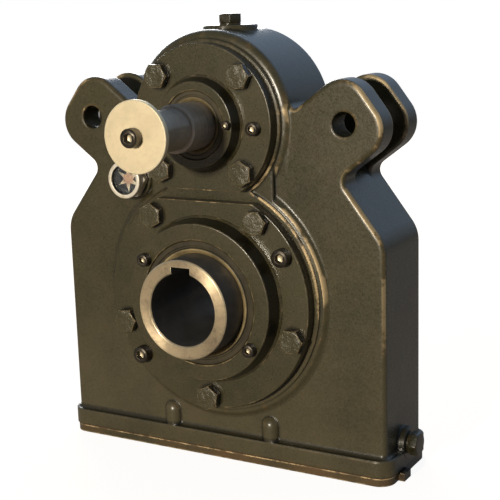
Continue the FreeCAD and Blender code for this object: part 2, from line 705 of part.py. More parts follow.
def input_carrier_places():
    middle_r = INPUT_SEAL_R + (INPUT_CARRIER_WALL - CARRIER_DRAFT) / 2
    return ring_of_places(2, middle_r, INPUT_CARRIER_SCREW_DEG, INPUT_Z)


def above_output_flat():
    return half_space(OUTPUT_FLAT_Z, TOP_PAD_Z)


def below_input_flat():
    return half_space(BASE_Z, INPUT_FLAT_Z)


def flanged_ring(bore_r, bearing_r, inner_y, spigot_r, flange_r):
    """A cover's flange and spigot, with the bearing seat inside and a lip in front of the bearing."""
    spigot_r = spigot_r - SPIGOT_GAP
    outline = [(bore_r, -FLANGE_Y), (flange_r, -FLANGE_Y), (flange_r, -FLANGE_BACK_Y), (spigot_r, -FLANGE_BACK_Y),
               (spigot_r, -inner_y), (bearing_r, -inner_y), (bearing_r, -BEARING_OUTER_Y),
               (bore_r, -BEARING_OUTER_Y)]
    return rounded(turned(outline), FLANGE_ROUND, lambda edge: is_circle(edge, -FLANGE_Y, flange_r))


def output_cover():
    """The output bearing's cover: a round flange, cut flat at the top to clear the input cover."""
    cover = flanged_ring(OUTPUT_SEAL_R, OUTPUT_BEARING_R, BEARING_INNER_Y, OUTPUT_SPIGOT_R, OUTPUT_FLANGE_R)
    cover = cover.cut(above_output_flat())
    cover = drilled(cover, output_bolt_places(), COVER_BOLT / 2 + HOLE_GAP, -FAR_Y, FAR_Y)
    cover = drilled(cover, output_jack_places(), OUTPUT_JACK_SCREW / 2 + THREAD_GAP, -FAR_Y, FAR_Y)
    return drilled(cover, output_carrier_places(), OUTPUT_CARRIER_SCREW / 2 + THREAD_GAP, -FAR_Y,
                   -FLANGE_Y + CARRIER_SCREW_GRIP + HOLE_TIP)


def input_flange_drilled(cover):
    cover = drilled(cover, input_bolt_places(), COVER_BOLT / 2 + HOLE_GAP, -FAR_Y, FAR_Y)
    return drilled(cover, input_jack_places(), INPUT_JACK_SCREW / 2 + THREAD_GAP, -FAR_Y, FAR_Y)


def input_cover():
    """The input bearing's cover, cut flat at the bottom to clear the output cover."""
    cover = flanged_ring(INPUT_SEAL_R, INPUT_BEARING_R, INPUT_BEARING_INNER_Y, INPUT_SPIGOT_R, INPUT_FLANGE_R)
    cover.translate(HUMP_CENTRE)
    cover = input_flange_drilled(cover.cut(below_input_flat()))
    return drilled(cover, input_carrier_places(), INPUT_CARRIER_SCREW / 2 + THREAD_GAP, -FAR_Y,
                   -FLANGE_Y + CARRIER_SCREW_GRIP + HOLE_TIP)


def input_rear_cap():
    """The closed cover over the input shaft's rear bearing. It is shaped at the front and put at the rear."""
    cap_y = FLANGE_Y + REAR_CAP_HEIGHT
    recess_y = BEARING_OUTER_Y + REAR_CAP_RECESS
    ring = flanged_ring(INPUT_SEAL_R, INPUT_BEARING_R, INPUT_BEARING_INNER_Y, INPUT_SPIGOT_R, INPUT_FLANGE_R)
    lid = turned([(0, -cap_y), (INPUT_CARRIER_R - CARRIER_DRAFT, -cap_y), (INPUT_CARRIER_R, -FLANGE_Y),
                  (INPUT_CARRIER_R, -recess_y), (0, -recess_y)])
    lid = rounded(lid, CARRIER_ROUND, lambda edge: is_circle(edge, -cap_y, INPUT_CARRIER_R - CARRIER_DRAFT))
    cap = ring.fuse(lid).removeSplitter()
    cap.translate(HUMP_CENTRE)
    return to_rear(input_flange_drilled(cap.cut(below_input_flat())))


def seal_carrier(seal_r, seal_width, carrier_r, carrier_y):
    """The tapered ring on a cover's flange that holds the shaft seal. It registers in the cover's bore."""
    tip_r = carrier_r - CARRIER_DRAFT
    passage_r = seal_r - CARRIER_SHOULDER
    register_r = seal_r - SPIGOT_GAP
    floor_y = -carrier_y + SEAL_RECESS + seal_width
    back_y = -FLANGE_Y + CARRIER_REGISTER
    outline = [(seal_r + SEAL_LEAD, -carrier_y), (tip_r, -carrier_y), (carrier_r, -FLANGE_Y - CARRIER_FOOT),
               (carrier_r + CARRIER_FOOT, -FLANGE_Y), (register_r, -FLANGE_Y), (register_r, back_y),
               (passage_r, back_y), (passage_r, floor_y), (seal_r, floor_y), (seal_r, -carrier_y + SEAL_LEAD)]
    return rounded(turned(outline), CARRIER_ROUND, lambda edge: is_circle(edge, -carrier_y, tip_r))


def output_seal_carrier():
    carrier = seal_carrier(OUTPUT_SEAL_R, OUTPUT_SEAL_WIDTH, OUTPUT_CARRIER_R, OUTPUT_CARRIER_Y)
    return drilled(carrier, output_carrier_places(), OUTPUT_CARRIER_SCREW / 2 + HOLE_GAP, -FAR_Y, FAR_Y)


def input_seal_carrier():
    carrier = seal_carrier(INPUT_SEAL_R, INPUT_SEAL_WIDTH, INPUT_CARRIER_R, INPUT_CARRIER_Y)
    carrier.translate(HUMP_CENTRE)
    return drilled(carrier, input_carrier_places(), INPUT_CARRIER_SCREW / 2 + HOLE_GAP, -FAR_Y, FAR_Y)


def output_gasket():
    gasket = sleeve(OUTPUT_FLANGE_R, OUTPUT_SPIGOT_R, -FLANGE_BACK_Y, -PAD_Y).cut(above_output_flat())
    return drilled(gasket, output_bolt_places(), COVER_BOLT / 2 + HOLE_GAP, -FAR_Y, FAR_Y)


def input_gasket():
    gasket = sleeve(INPUT_FLANGE_R, INPUT_SPIGOT_R, -FLANGE_BACK_Y, -PAD_Y, INPUT_Z).cut(below_input_flat())
    return drilled(gasket, input_bolt_places(), COVER_BOLT / 2 + HOLE_GAP, -FAR_Y, FAR_Y)


def bolt_set(places):
    return Part.Compound([hex_bolt(x, z) for x, z in places])


def jack_set(places, thread):
    """The screws that stay in the tapped holes of a flange and push it off its seat."""
    return Part.Compound([cap_screw(thread, FLANGE_THICK, -FLANGE_Y, x, z) for x, z in places])


def carrier_screw_set(places, thread, carrier_y):
    length = carrier_y - FLANGE_Y + CARRIER_SCREW_GRIP
    return Part.Compound([cap_screw(thread, length, -carrier_y, x, z) for x, z in places])


# Housing


def lug_point(along, reach):
    """A point of the right lug: along the shoulder's slope, and out from it."""
    return SHOULDER + SLOPE_UP * along + SLOPE_OUT * reach


def mirrored_points(points):
    return [Vector(-p.x, 0, p.z) for p in points]


def body_block(y0, y1, inset, bottom_z):
    """The housing's front view without its lugs, moved in by inset, between two Y planes."""
    half = HALF_WIDTH - inset
    slope_at = SLOPE_AT - inset
    shoulder = Vector(half, 0, (slope_at - SLOPE_OUT.x * half) / SLOPE_OUT.z)
    crown = HUMP_CENTRE + SLOPE_OUT * (SLOPE_FROM_HUMP - inset)
    right = [Vector(half, 0, bottom_z), shoulder, crown]
    block = slab(right + mirrored_points(reversed(right)), y0, y1)
    block = round_corners(block, SHOULDER_ROUND - inset, [shoulder] + mirrored_points([shoulder]))
    return block.fuse(rod(HUMP_R - inset, y0, y1, 0, INPUT_Z)).removeSplitter()


def lug_cheek(y0, y1):
    """One cheek of the right lug. It is rooted well inside the shoulder."""
    tip = LUG_REACH + LUG_END
    corners = [lug_point(LUG_LOW, -LUG_REACH), lug_point(LUG_LOW, tip), lug_point(LUG_HIGH, tip),
               lug_point(LUG_HIGH, -LUG_REACH)]
    return round_corners(slab(corners, y0, y1), LUG_CORNER, corners[1:3])


def lug_wall():
    """The front of the casting: the body's outline with both front lug cheeks, rounded all round."""
    y0 = -FRONT_Y
    y1 = -FRONT_Y + LUG_THICK
    cheek = lug_cheek(y0, y1)
    wall = body_block(y0, y1, 0, FOOT_Z).fuse([cheek, to_left(cheek)]).removeSplitter()
    low_roots = [lug_point(LUG_LOW, 0)]
    high_roots = [lug_point(LUG_HIGH, 0)]
    top_round = LUG_HUMP_GAP * LUG_TOP_ROUND_SHARE

    def is_hump_corner(edge):
        start = edge.Vertexes[0].Point
        return is_along_y(edge) and abs(math.hypot(start.x, start.z - INPUT_Z) - HUMP_R) < TINY

    def is_outline(edge, y):
        return lies_at_y(edge, y) and not lies_at_z(edge, FOOT_Z)

    wall = round_corners(wall, LUG_ROOT_ROUND, low_roots + mirrored_points(low_roots))
    wall = round_corners(wall, top_round, high_roots + mirrored_points(high_roots))
    wall = rounded(wall, top_round, is_hump_corner)
    wall = rounded(wall, EDGE_ROUND, lambda edge: is_outline(edge, y0))
    return rounded(wall, LUG_INNER_ROUND, lambda edge: is_outline(edge, y1))


def hump():
    """The round hump over the input shaft, with well rounded front and rear edges."""

    def is_rim(edge):
        return is_circle(edge, -HUMP_Y, HUMP_R) or is_circle(edge, HUMP_Y, HUMP_R)

    return rounded(rod(HUMP_R, -HUMP_Y, HUMP_Y, 0, INPUT_Z), HUMP_ROUND, is_rim)


def hump_skirt():
    """The hump's straight sides, which run down from its widest place and fade into the front wall."""
    half = HUMP_R - SKIRT_STEP
    front_y = -HUMP_Y + SKIRT_STEP
    low = INPUT_Z - SKIRT_DROP
    corners = [Vector(-half, front_y, INPUT_Z), Vector(-half, -FRONT_Y, low), Vector(-half, -CAVITY_Y, low),
               Vector(-half, -CAVITY_Y, INPUT_Z)]
    skirt = Part.Face(Part.makePolygon(corners + corners[:1])).extrude(Vector(2 * half, 0, 0))

    def is_ridge(edge):
        box = edge.BoundBox
        is_side = box.XLength < TINY
        return is_side and abs(box.YMin - front_y) < TINY and abs(box.YMax + FRONT_Y) < TINY

    return rounded(skirt, HUMP_ROUND, is_ridge)


def output_pad():
    """The raised seat of the output cover. It stands on a drafted shelf that flares into the wall."""
    shelf_r = OUTPUT_PAD_R + PAD_SHELF
    base_r = shelf_r + PAD_DRAFT
    skirt_r = base_r + 2 * PAD_FLARE
    back_y = -FRONT_Y + WALL / 2
    outline = [(0, -PAD_Y), (OUTPUT_PAD_R, -PAD_Y), (OUTPUT_PAD_R, -SHELF_Y), (shelf_r, -SHELF_Y),
               (base_r, -FRONT_Y), (skirt_r, -FRONT_Y), (skirt_r, back_y), (0, back_y)]
    pad = rounded(turned(outline), PAD_ROUND, lambda edge: is_circle(edge, -SHELF_Y, shelf_r))
    return rounded(pad, PAD_FLARE, lambda edge: is_circle(edge, -FRONT_Y, base_r))


def input_pad():
    """The raised seat of the input cover."""
    outline = [(0, -PAD_Y), (INPUT_PAD_R, -PAD_Y), (INPUT_PAD_R + INPUT_PAD_DRAFT, -FRONT_Y), (0, -FRONT_Y)]
    pad = rounded(turned(outline), PAD_ROUND, lambda edge: is_circle(edge, -PAD_Y, INPUT_PAD_R))
    pad.translate(HUMP_CENTRE)
    return pad


def pad_bridge():
    """The low land between the two covers, which joins their seats."""
    half = BRIDGE_WIDTH / 2
    low = OUTPUT_PAD_R / 2
    high = INPUT_Z - INPUT_PAD_R / 3
    back = -FRONT_Y + WALL / 2
    bridge = Part.makeBox(BRIDGE_WIDTH, SHELF_Y + back, high - low, Vector(-half, -SHELF_Y, low))

    def is_side(edge):
        box = edge.BoundBox
        return lies_at_y(edge, -SHELF_Y) and box.XLength < TINY

    return rounded(bridge, PAD_ROUND, is_side)


def sight_pad():
    pad_r = SIGHT_THREAD / 2 + SIGHT_PAD_WALL
    pad = rod(pad_r, -SIGHT_SEAT_Y, -FRONT_Y + WALL / 2)
    pad = rounded(pad, SIGHT_PAD_ROUND, lambda edge: is_circle(edge, -SIGHT_SEAT_Y, pad_r))
    pad.translate(Vector(SIGHT_X, 0, SIGHT_Z))
    return pad


def top_pad():
    """The round seat of the plug on top of the hump."""
    height = HUMP_R / 2
    pad = Part.makeCylinder(TOP_PAD / 2, height, Vector(0, 0, TOP_PAD_Z - height))
    rim = [edge for edge in pad.Edges if lies_at_z(edge, TOP_PAD_Z)]
    return pad.makeChamfer(TOP_PAD_CHAMFER, rim)


def side_boss():
    boss = rod(PLUG_THREAD / 2 + SIDE_BOSS_WALL, 0, SIDE_FACE_X - HALF_WIDTH + WALL)
    return facing_right(boss, SIDE_FACE_X, SIDE_PLUG_Z)


def foot_plate(z0, z1, inset):
    """The outline of the foot flange, moved in by inset, between two heights."""
    half_x = FOOT_HALF_X - inset
    half_y = FOOT_HALF_Y - inset
    plate = Part.makeBox(2 * half_x, 2 * half_y, z1 - z0, Vector(-half_x, -half_y, z0))
    return rounded(plate, FOOT_CORNER - inset, lambda edge: edge.BoundBox.ZLength > TINY)


def side_screw_places():
    """The (x, y) of the inspection cover's screws along its long sides."""
    y = FOOT_HALF_Y - FOOT_BOSS / 2
    return [(sx * FOOT_SCREW_SPAN / 2, sy * y) for sx in (-1, 1) for sy in (-1, 1)]


def foot_screw_places():
    """The (x, y) of all the inspection cover's screws."""
    x = FOOT_HALF_X - FOOT_CORNER_EDGE_X
    y = FOOT_HALF_Y - FOOT_CORNER_EDGE_Y
    return side_screw_places() + [(sx * x, sy * y) for sx in (-1, 1) for sy in (-1, 1)]


def foot_boss(x, y):
    """A half round boss with a domed top, which holds the thread of one screw of a long side."""
    radius = FOOT_BOSS / 2
    dome_z = FOOT_TOP_Z + FOOT_BOSS_HEIGHT - radius
    post = Part.makeCylinder(radius, dome_z - FOOT_Z, Vector(x, y, FOOT_Z))
    return post.fuse(Part.makeSphere(radius, Vector(x, y, dome_z))).removeSplitter()


def body_on_foot():
    """The box with its lugs, standing on the foot flange, with a hollow corner between them."""
    wall = lug_wall()
    middle_y = FRONT_Y - LUG_THICK + LUG_INNER_ROUND
    body = body_block(-middle_y, middle_y, 0, FOOT_Z).fuse([wall, to_rear(wall)]).removeSplitter()
    foot = foot_plate(FOOT_Z, FOOT_TOP_Z, 0)
    foot = rounded(foot, FOOT_REACH * FOOT_EDGE_SHARE, lambda edge: lies_at_z(edge, FOOT_TOP_Z))
    body = body.fuse(foot).removeSplitter()

    def is_wall_foot(edge):
        box = edge.BoundBox
        is_in_x = max(box.XMax, -box.XMin) < HALF_WIDTH + TINY
        is_in_y = max(box.YMax, -box.YMin) < FRONT_Y + TINY
        return lies_at_z(edge, FOOT_TOP_Z) and is_in_x and is_in_y

    return rounded(body, FOOT_REACH * FOOT_FILLET_SHARE, is_wall_foot)


def housing():
    """The one piece casting: box, forked lugs, hump, pads, foot flange, and every bore and tapped hole."""
    seats = [output_pad(), input_pad(), pad_bridge(), hump_skirt()]
    seats += [to_rear(seat) for seat in seats]
    bosses = [hump(), sight_pad(), top_pad(), side_boss()] + [foot_boss(x, y) for x, y in side_screw_places()]
    body = body_on_foot().fuse(seats + bosses).removeSplitter()

    body = body.cut(body_block(-CAVITY_Y, CAVITY_Y, WALL, FOOT_Z - FOOT_THICK))
    body = body.cut([rod(OUTPUT_SPIGOT_R, -FAR_Y, FAR_Y), rod(INPUT_SPIGOT_R, -FAR_Y, FAR_Y, 0, INPUT_Z)])
    pin = lug_point(LUG_HOLE_ALONG, LUG_REACH)
    body = drilled(body, [(pin.x, pin.z), (-pin.x, pin.z)], LUG_HOLE / 2, -FAR_Y, FAR_Y)
    bolts = output_bolt_places() + input_bolt_places()
    floor_y = PAD_Y - COVER_BOLT_GRIP - HOLE_TIP
    for side in (-1, 1):
        body = drilled(body, bolts, COVER_BOLT / 2 + THREAD_GAP, side * FAR_Y, side * floor_y)
    foot_hole_r = FOOT_SCREW / 2 + THREAD_GAP
    foot_hole_depth = FOOT_SCREW_LENGTH + HOLE_TIP
    holes = [Part.makeCylinder(foot_hole_r, foot_hole_depth, Vector(x, y, BASE_Z)) for x, y in foot_screw_places()]
    plug_hole = rod(PLUG_THREAD / 2 + THREAD_GAP, -WALL, 2 * WALL)
    holes.append(facing_right(plug_hole.copy(), SIDE_FACE_X, SIDE_PLUG_Z))
    holes.append(facing_up(plug_hole, TOP_PAD_Z))
    holes.append(rod(SIGHT_THREAD / 2 + THREAD_GAP, -FAR_Y, -CAVITY_Y + WALL / 2, SIGHT_X, SIGHT_Z))
    return body.cut(holes)


# Inspection cover


def foot_screw(x, y, grow):
    """A countersunk screw from below, flush with the cover. Grown, it is the hole for one."""
    radius = FOOT_SCREW / 2 + grow
    head_r = FOOT_SCREW + grow
    head = Part.makeCone(head_r, radius, head_r - radius, Vector(x, y, BASE_Z))
    return head.fuse(Part.makeCylinder(radius, FOOT_SCREW_LENGTH, Vector(x, y, BASE_Z))).removeSplitter()


def foot_screw_with_socket(x, y):
    socket_r = FOOT_SCREW * SOCKET_SHARE / math.sqrt(3)
    corners = [Vector(x + px, y + py, BASE_Z) for px, py in ring_of_places(6, socket_r, 0)]
    socket = Part.Face(Part.makePolygon(corners + corners[:1])).extrude(Vector(0, 0, FOOT_SCREW / 2))
    return foot_screw(x, y, 0).cut(socket)


def inspection_cover():
    """The plate over the opening that the wheel goes in through, with a pry tab at each end."""
    reach = FOOT_HALF_X + PRY_TAB
    tab_start = Vector(-reach, PRY_TAB_Y - PRY_TAB_WIDTH / 2, BASE_Z)
    tabs = Part.makeBox(2 * reach, PRY_TAB_WIDTH, INSPECTION_COVER, tab_start)
    plate = foot_plate(BASE_Z, COVER_TOP_Z, COVER_INSET).fuse(tabs).removeSplitter()
    return plate.cut([foot_screw(x, y, HOLE_GAP) for x, y in foot_screw_places()])


def inspection_gasket():
    opening = body_block(-CAVITY_Y, CAVITY_Y, WALL, BASE_Z)
    holes = [foot_screw(x, y, HOLE_GAP) for x, y in foot_screw_places()]
    return foot_plate(COVER_TOP_Z, FOOT_Z, COVER_INSET).cut([opening] + holes)


# Sight glass


def sight_glass():
    """The oil sight glass in the front wall: its body, lens, star shaped reflector and washer."""
    seat_y = -SIGHT_SEAT_Y - PLUG_WASHER
    hex_y = seat_y - SIGHT_HEX_THICK
    face_y = hex_y - SIGHT_RIM_THICK
    lens_y = face_y + SIGHT_LENS_SETBACK
    star_y = lens_y + SIGHT_LENS_THICK + SIGHT_STAR_DEPTH
    star_back_y = star_y + SIGHT_STAR_THICK
    rim_r = SIGHT_RIM / 2
    window_r = rim_r - SIGHT_RIM_WALL
    c = SIGHT_RIM_CHAMFER
    rim = turned([(0, hex_y), (rim_r, hex_y), (rim_r, face_y + c), (rim_r - c, face_y), (0, face_y)])
    body = hexagon(SIGHT_FLATS, seat_y, hex_y).fuse([rim, rod(SIGHT_THREAD / 2, seat_y, -CAVITY_Y)])
    body = body.removeSplitter().cut([rod(window_r, face_y, star_back_y), rod(window_r - SIGHT_LEDGE, face_y, 0)])
    lens = rod(window_r - SEAT_GAP, lens_y, lens_y + SIGHT_LENS_THICK)
    star = rod(window_r - SEAT_GAP, star_y, star_back_y)
    star_holes = ring_of_places(SIGHT_STAR_ARMS, window_r - SIGHT_STAR_HOLE / 2 - SIGHT_RIM_CHAMFER, 30)
    star = drilled(star, star_holes, SIGHT_STAR_HOLE / 2, -FAR_Y, FAR_Y)
    washer = sleeve(SIGHT_FLATS / 2, SIGHT_THREAD / 2 + THREAD_GAP, seat_y, -SIGHT_SEAT_Y)
    pieces = {"body": body, "lens": lens, "star": star, "washer": washer}
    for piece in pieces.values():
        piece.translate(Vector(SIGHT_X, 0, SIGHT_Z))
    return pieces


# Every piece under its name


def casing_pieces():
    carrier_screws = carrier_screw_set(output_carrier_places(), OUTPUT_CARRIER_SCREW, OUTPUT_CARRIER_Y)
    output_jacks = jack_set(output_jack_places(), OUTPUT_JACK_SCREW)
    input_jacks = jack_set(input_jack_places(), INPUT_JACK_SCREW)
    return {
        "housing": housing(),
        "inspection_cover": inspection_cover(),
        "inspection_gasket": inspection_gasket(),
        "inspection_cover_screws": Part.Compound([foot_screw_with_socket(x, y) for x, y in foot_screw_places()]),
        "output_jack_screws": Part.Compound([output_jacks, to_rear(output_jacks)]),
        "output_carrier_screws": Part.Compound([carrier_screws, to_rear(carrier_screws)]),
        "input_cover_front": input_cover(),
        "input_cover_rear": input_rear_cap(),
        "input_jack_screws": Part.Compound([input_jacks, to_rear(input_jacks)]),
        "input_seal_carrier": input_seal_carrier(),
        "input_seal": shaft_seal(INPUT_JOURNAL_R, INPUT_SEAL_SECTION, INPUT_SEAL_WIDTH, INPUT_CARRIER_Y, INPUT_Z),
        "input_carrier_screws": carrier_screw_set(input_carrier_places(), INPUT_CARRIER_SCREW, INPUT_CARRIER_Y),
    }


def paired_pieces():
    """The pieces that the front and the rear of the casing have alike."""
    fronts = {
        "output_cover": output_cover(),
        "output_cover_gasket": output_gasket(),
        "output_cover_bolts": bolt_set(output_bolt_places()),
        "output_seal_carrier": output_seal_carrier(),
        "output_seal": shaft_seal(OUTPUT_JOURNAL_R, OUTPUT_SEAL_SECTION, OUTPUT_SEAL_WIDTH, OUTPUT_CARRIER_Y, 0),
        "input_cover_gasket": input_gasket(),
        "input_cover_bolts": bolt_set(input_bolt_places()),
    }
    pieces = {}
    for name, shape in fronts.items():
        pieces[f"{name}_front"] = shape
        pieces[f"{name}_rear"] = to_rear(shape)
    return pieces


def plug_pieces():
    top_z = TOP_PAD_Z + PLUG_WASHER
    side_x = SIDE_FACE_X + PLUG_WASHER
    pieces = {
        "top_oil_plug": facing_up(oil_plug(), top_z),
        "top_plug_washer": facing_up(plug_washer(), top_z),
        "side_oil_plug": facing_right(oil_plug(), side_x, SIDE_PLUG_Z),
        "side_plug_washer": facing_right(plug_washer(), side_x, SIDE_PLUG_Z),
    }
    for name, shape in sight_glass().items():
        pieces[f"sight_glass_{name}"] = shape
    return pieces


def shaft_pieces():
    return {
        "hollow_output_shaft": hollow_output_shaft(),
        "output_gear": output_gear(),
        "output_gear_key": output_gear_key(),
        "output_gear_spacer": output_gear_spacer(),
        "input_pinion_shaft": input_pinion_shaft(),
        "input_shaft_key": shaft_key(0),
        "retaining_washer": retaining_washer(),
        "retaining_screw": retaining_screw(),
    }


def bearing_pieces():
    output = (OUTPUT_JOURNAL_R, OUTPUT_BEARING_SECTION, BEARING_INNER_Y, BEARING_OUTER_Y, OUTPUT_BALL,
              OUTPUT_BALL_COUNT, 0.0)
    drive = (INPUT_JOURNAL_R, INPUT_BEARING_SECTION, INPUT_BEARING_INNER_Y, BEARING_OUTER_Y, INPUT_BALL,
             INPUT_BALL_COUNT, INPUT_Z)
    pieces = {}
    for name, sizes in (("output_bearing", output), ("input_bearing", drive)):
        for part, shape in ball_bearing(*sizes).items():
            pieces[f"{name}_rear_{part}"] = shape
            pieces[f"{name}_front_{part}"] = to_rear(shape)
    return pieces


def main():
    os.makedirs("parts", exist_ok=True)
    for pieces in (casing_pieces(), paired_pieces(), plug_pieces(), shaft_pieces(), bearing_pieces()):
        for name, shape in pieces.items():
            shape.exportStep(f"parts/{name}.step")


main()
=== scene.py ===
"""Looks of a shaft mounted gearbox, dressed round its solid model and set on a pale stage."""
import json
import math

import bmesh
import bpy
from bpy.props import FloatProperty, FloatVectorProperty, IntProperty, PointerProperty
from mathutils import Matrix, Vector


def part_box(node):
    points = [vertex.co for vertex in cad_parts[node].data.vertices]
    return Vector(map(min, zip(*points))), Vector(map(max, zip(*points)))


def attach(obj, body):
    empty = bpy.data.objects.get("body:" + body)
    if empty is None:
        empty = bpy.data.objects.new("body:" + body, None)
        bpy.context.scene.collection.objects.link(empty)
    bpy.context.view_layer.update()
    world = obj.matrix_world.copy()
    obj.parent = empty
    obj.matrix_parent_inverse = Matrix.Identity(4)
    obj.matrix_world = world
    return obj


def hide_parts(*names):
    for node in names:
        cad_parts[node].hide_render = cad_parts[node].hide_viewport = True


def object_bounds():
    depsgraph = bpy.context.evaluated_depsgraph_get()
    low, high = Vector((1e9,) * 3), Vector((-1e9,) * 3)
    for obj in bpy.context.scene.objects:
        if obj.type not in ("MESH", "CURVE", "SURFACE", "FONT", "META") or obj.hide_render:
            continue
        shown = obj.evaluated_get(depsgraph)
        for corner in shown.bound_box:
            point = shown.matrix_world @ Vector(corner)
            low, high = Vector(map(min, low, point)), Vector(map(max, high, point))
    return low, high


bl_info = {
    "name": "Shaft Mounted Gearbox Finish",
    "version": (1, 0, 0),
    "blender": (4, 5, 0),
    "location": "View3D > Sidebar > Gearbox",
    "description": "Finishes the pieces of a shaft mounted gearbox and sets the stage for its picture",
    "category": "Object",
}

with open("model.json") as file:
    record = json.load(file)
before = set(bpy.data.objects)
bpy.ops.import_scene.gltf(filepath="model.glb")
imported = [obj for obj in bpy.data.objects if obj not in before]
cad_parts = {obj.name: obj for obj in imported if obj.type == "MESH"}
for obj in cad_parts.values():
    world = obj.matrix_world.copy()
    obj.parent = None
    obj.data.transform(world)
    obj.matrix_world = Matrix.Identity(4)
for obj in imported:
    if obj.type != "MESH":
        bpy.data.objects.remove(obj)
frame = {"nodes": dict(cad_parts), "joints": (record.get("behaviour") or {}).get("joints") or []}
NODES = frame["nodes"]
CAD_BOX = [list(corner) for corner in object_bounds()]
FLOOR_Z = CAD_BOX[0][2]
INPUT_Z = next(joint["pos_m"][2] for joint in frame["joints"] if joint["name"] == "input_spin")
SOCKET_FLOOR = "socket_floor"
TINY = 1e-6
WHITE = (1.0, 1.0, 1.0)
BLACK = (0.0, 0.0, 0.0)


# Sizes and colours that a user may change


def colour(name, description, default):
    return FloatVectorProperty(name=name, description=description, default=default, subtype="COLOR",
                               min=0.0, max=1.0)


def position(name, description, default):
    return FloatVectorProperty(name=name, description=description, default=default, subtype="TRANSLATION",
                               unit="LENGTH")


def length(name, description, default):
    return FloatProperty(name=name, description=description, default=default, min=0.0, unit="LENGTH",
                         precision=5)


def share(name, description, default):
    return FloatProperty(name=name, description=description, default=default, min=0.0, max=1.0,
                         subtype="FACTOR")


def angle(name, description, degrees):
    return FloatProperty(name=name, description=description, default=math.radians(degrees), subtype="ANGLE")


def per_metre(name, description, default):
    return FloatProperty(name=name, description=description, default=default, min=1.0)


def lamp_power(name, description, default):
    return FloatProperty(name=name, description=description, default=default, min=0.0, unit="POWER")


class GearboxEnamel(bpy.types.PropertyGroup):
    deep: colour("Deep", "Enamel where it lies thick and dark", (0.0300, 0.0270, 0.0117))
    bright: colour("Bright", "Enamel where it lies thin", (0.068, 0.0608, 0.0250))
    stain: colour("Stain", "Brown tinge that lies on the enamel in patches", (0.070, 0.052, 0.026))
    worn: colour("Worn", "Enamel rubbed through to its brown primer along edges", (0.23, 0.145, 0.058))
    bare: colour("Bare", "Metal that shows where an edge is rubbed bare", (0.74, 0.57, 0.33))
    rust: colour("Rust", "Rust along the lowest edges", (0.16, 0.072, 0.026))
    # Blended in near the floor, this colour makes the enamel lighter and yellower towards the floor.
    dust: colour("Dust", "Dust that has settled low on the casting", (0.135, 0.112, 0.064))
    gloss: share("Roughness", "Roughness of sound enamel", 0.30)
    sheen: share("Reflection", "Strength of the enamel's mirror image", 0.5)
    varnish: share("Varnish", "Strength of the clear film on the enamel", 0.4)
    grain: per_metre("Grain", "Grains of the cast skin in a metre", 760.0)


class GearboxMetals(bpy.types.PropertyGroup):
    bright_steel: colour("Bright steel", "Turned end of the hollow shaft", (0.88, 0.71, 0.46))
    dull_steel: colour("Dull steel", "Stained patches of turned steel", (0.46, 0.36, 0.24))
    oiled_steel: colour("Oiled steel", "Steel under a film of old oil", (0.52, 0.46, 0.39))
    black_steel: colour("Black steel", "Blackened screws", (0.046, 0.039, 0.030))
    plate: colour("Plate", "Plated washer and sight glass", (0.91, 0.78, 0.53))
    copper: colour("Copper", "Star of the sight glass", (0.58, 0.33, 0.20))
    brass: colour("Brass", "Bearing cages", (0.62, 0.45, 0.19))
    gear_steel: colour("Gear steel", "Cut and hardened teeth", (0.30, 0.29, 0.28))
    ball_steel: colour("Ball steel", "Ground and polished rings and balls", (0.62, 0.62, 0.62))
    turned_pitch: per_metre("Tool marks", "Tool marks in a metre of turned face", 2600.0)


class GearboxSofts(bpy.types.PropertyGroup):
    rubber: colour("Rubber", "Seal rubber", (0.034, 0.028, 0.015))
    dust: colour("Dust", "Dust and old grease on rubber", (0.088, 0.070, 0.036))
    # The lip colour is partly a painted highlight on the seal's inner edge.
    lip: colour("Lip", "Worn metal edge of a seal", (0.72, 0.55, 0.27))
    fibre: colour("Fibre", "Gasket sheet", (0.095, 0.041, 0.018))
    glass: colour("Glass", "Lens of the sight glass", (0.93, 0.95, 0.93))


class GearboxSizes(bpy.types.PropertyGroup):
    bolt_head: length("Bolt head", "Height of a cover bolt's head", 0.0066)
    plug_head: length("Plug head", "Height of an oil plug's head", 0.0072)
    washer_face: length("Washer face", "Height of the round face under a bolt's head", 0.0006)
    soft_edge: length("Soft edge", "Rounding of the edges of a forged head", 0.00022)
    knurls: IntProperty(name="Knurls", description="Ridges round a socket screw's head", default=30, min=6)
    knurl_depth: share("Knurl depth", "Depth of a knurl as a share of the head's radius", 0.035)
    socket: share("Socket", "Width of a screw's socket as a share of its head", 0.47)
    output_lip: length("Output lip", "Inner radius of the output seals", 0.0376)
    input_lip: length("Input lip", "Inner radius of the input seal", 0.0176)
    foot: length("Foot", "Thickness of the foot flange", 0.0132)
    sight_flats: length("Sight flats", "Width of the sight glass nut across its flats", 0.027)
    sight_hexagon: length("Sight nut", "Height of the sight glass nut", 0.0065)


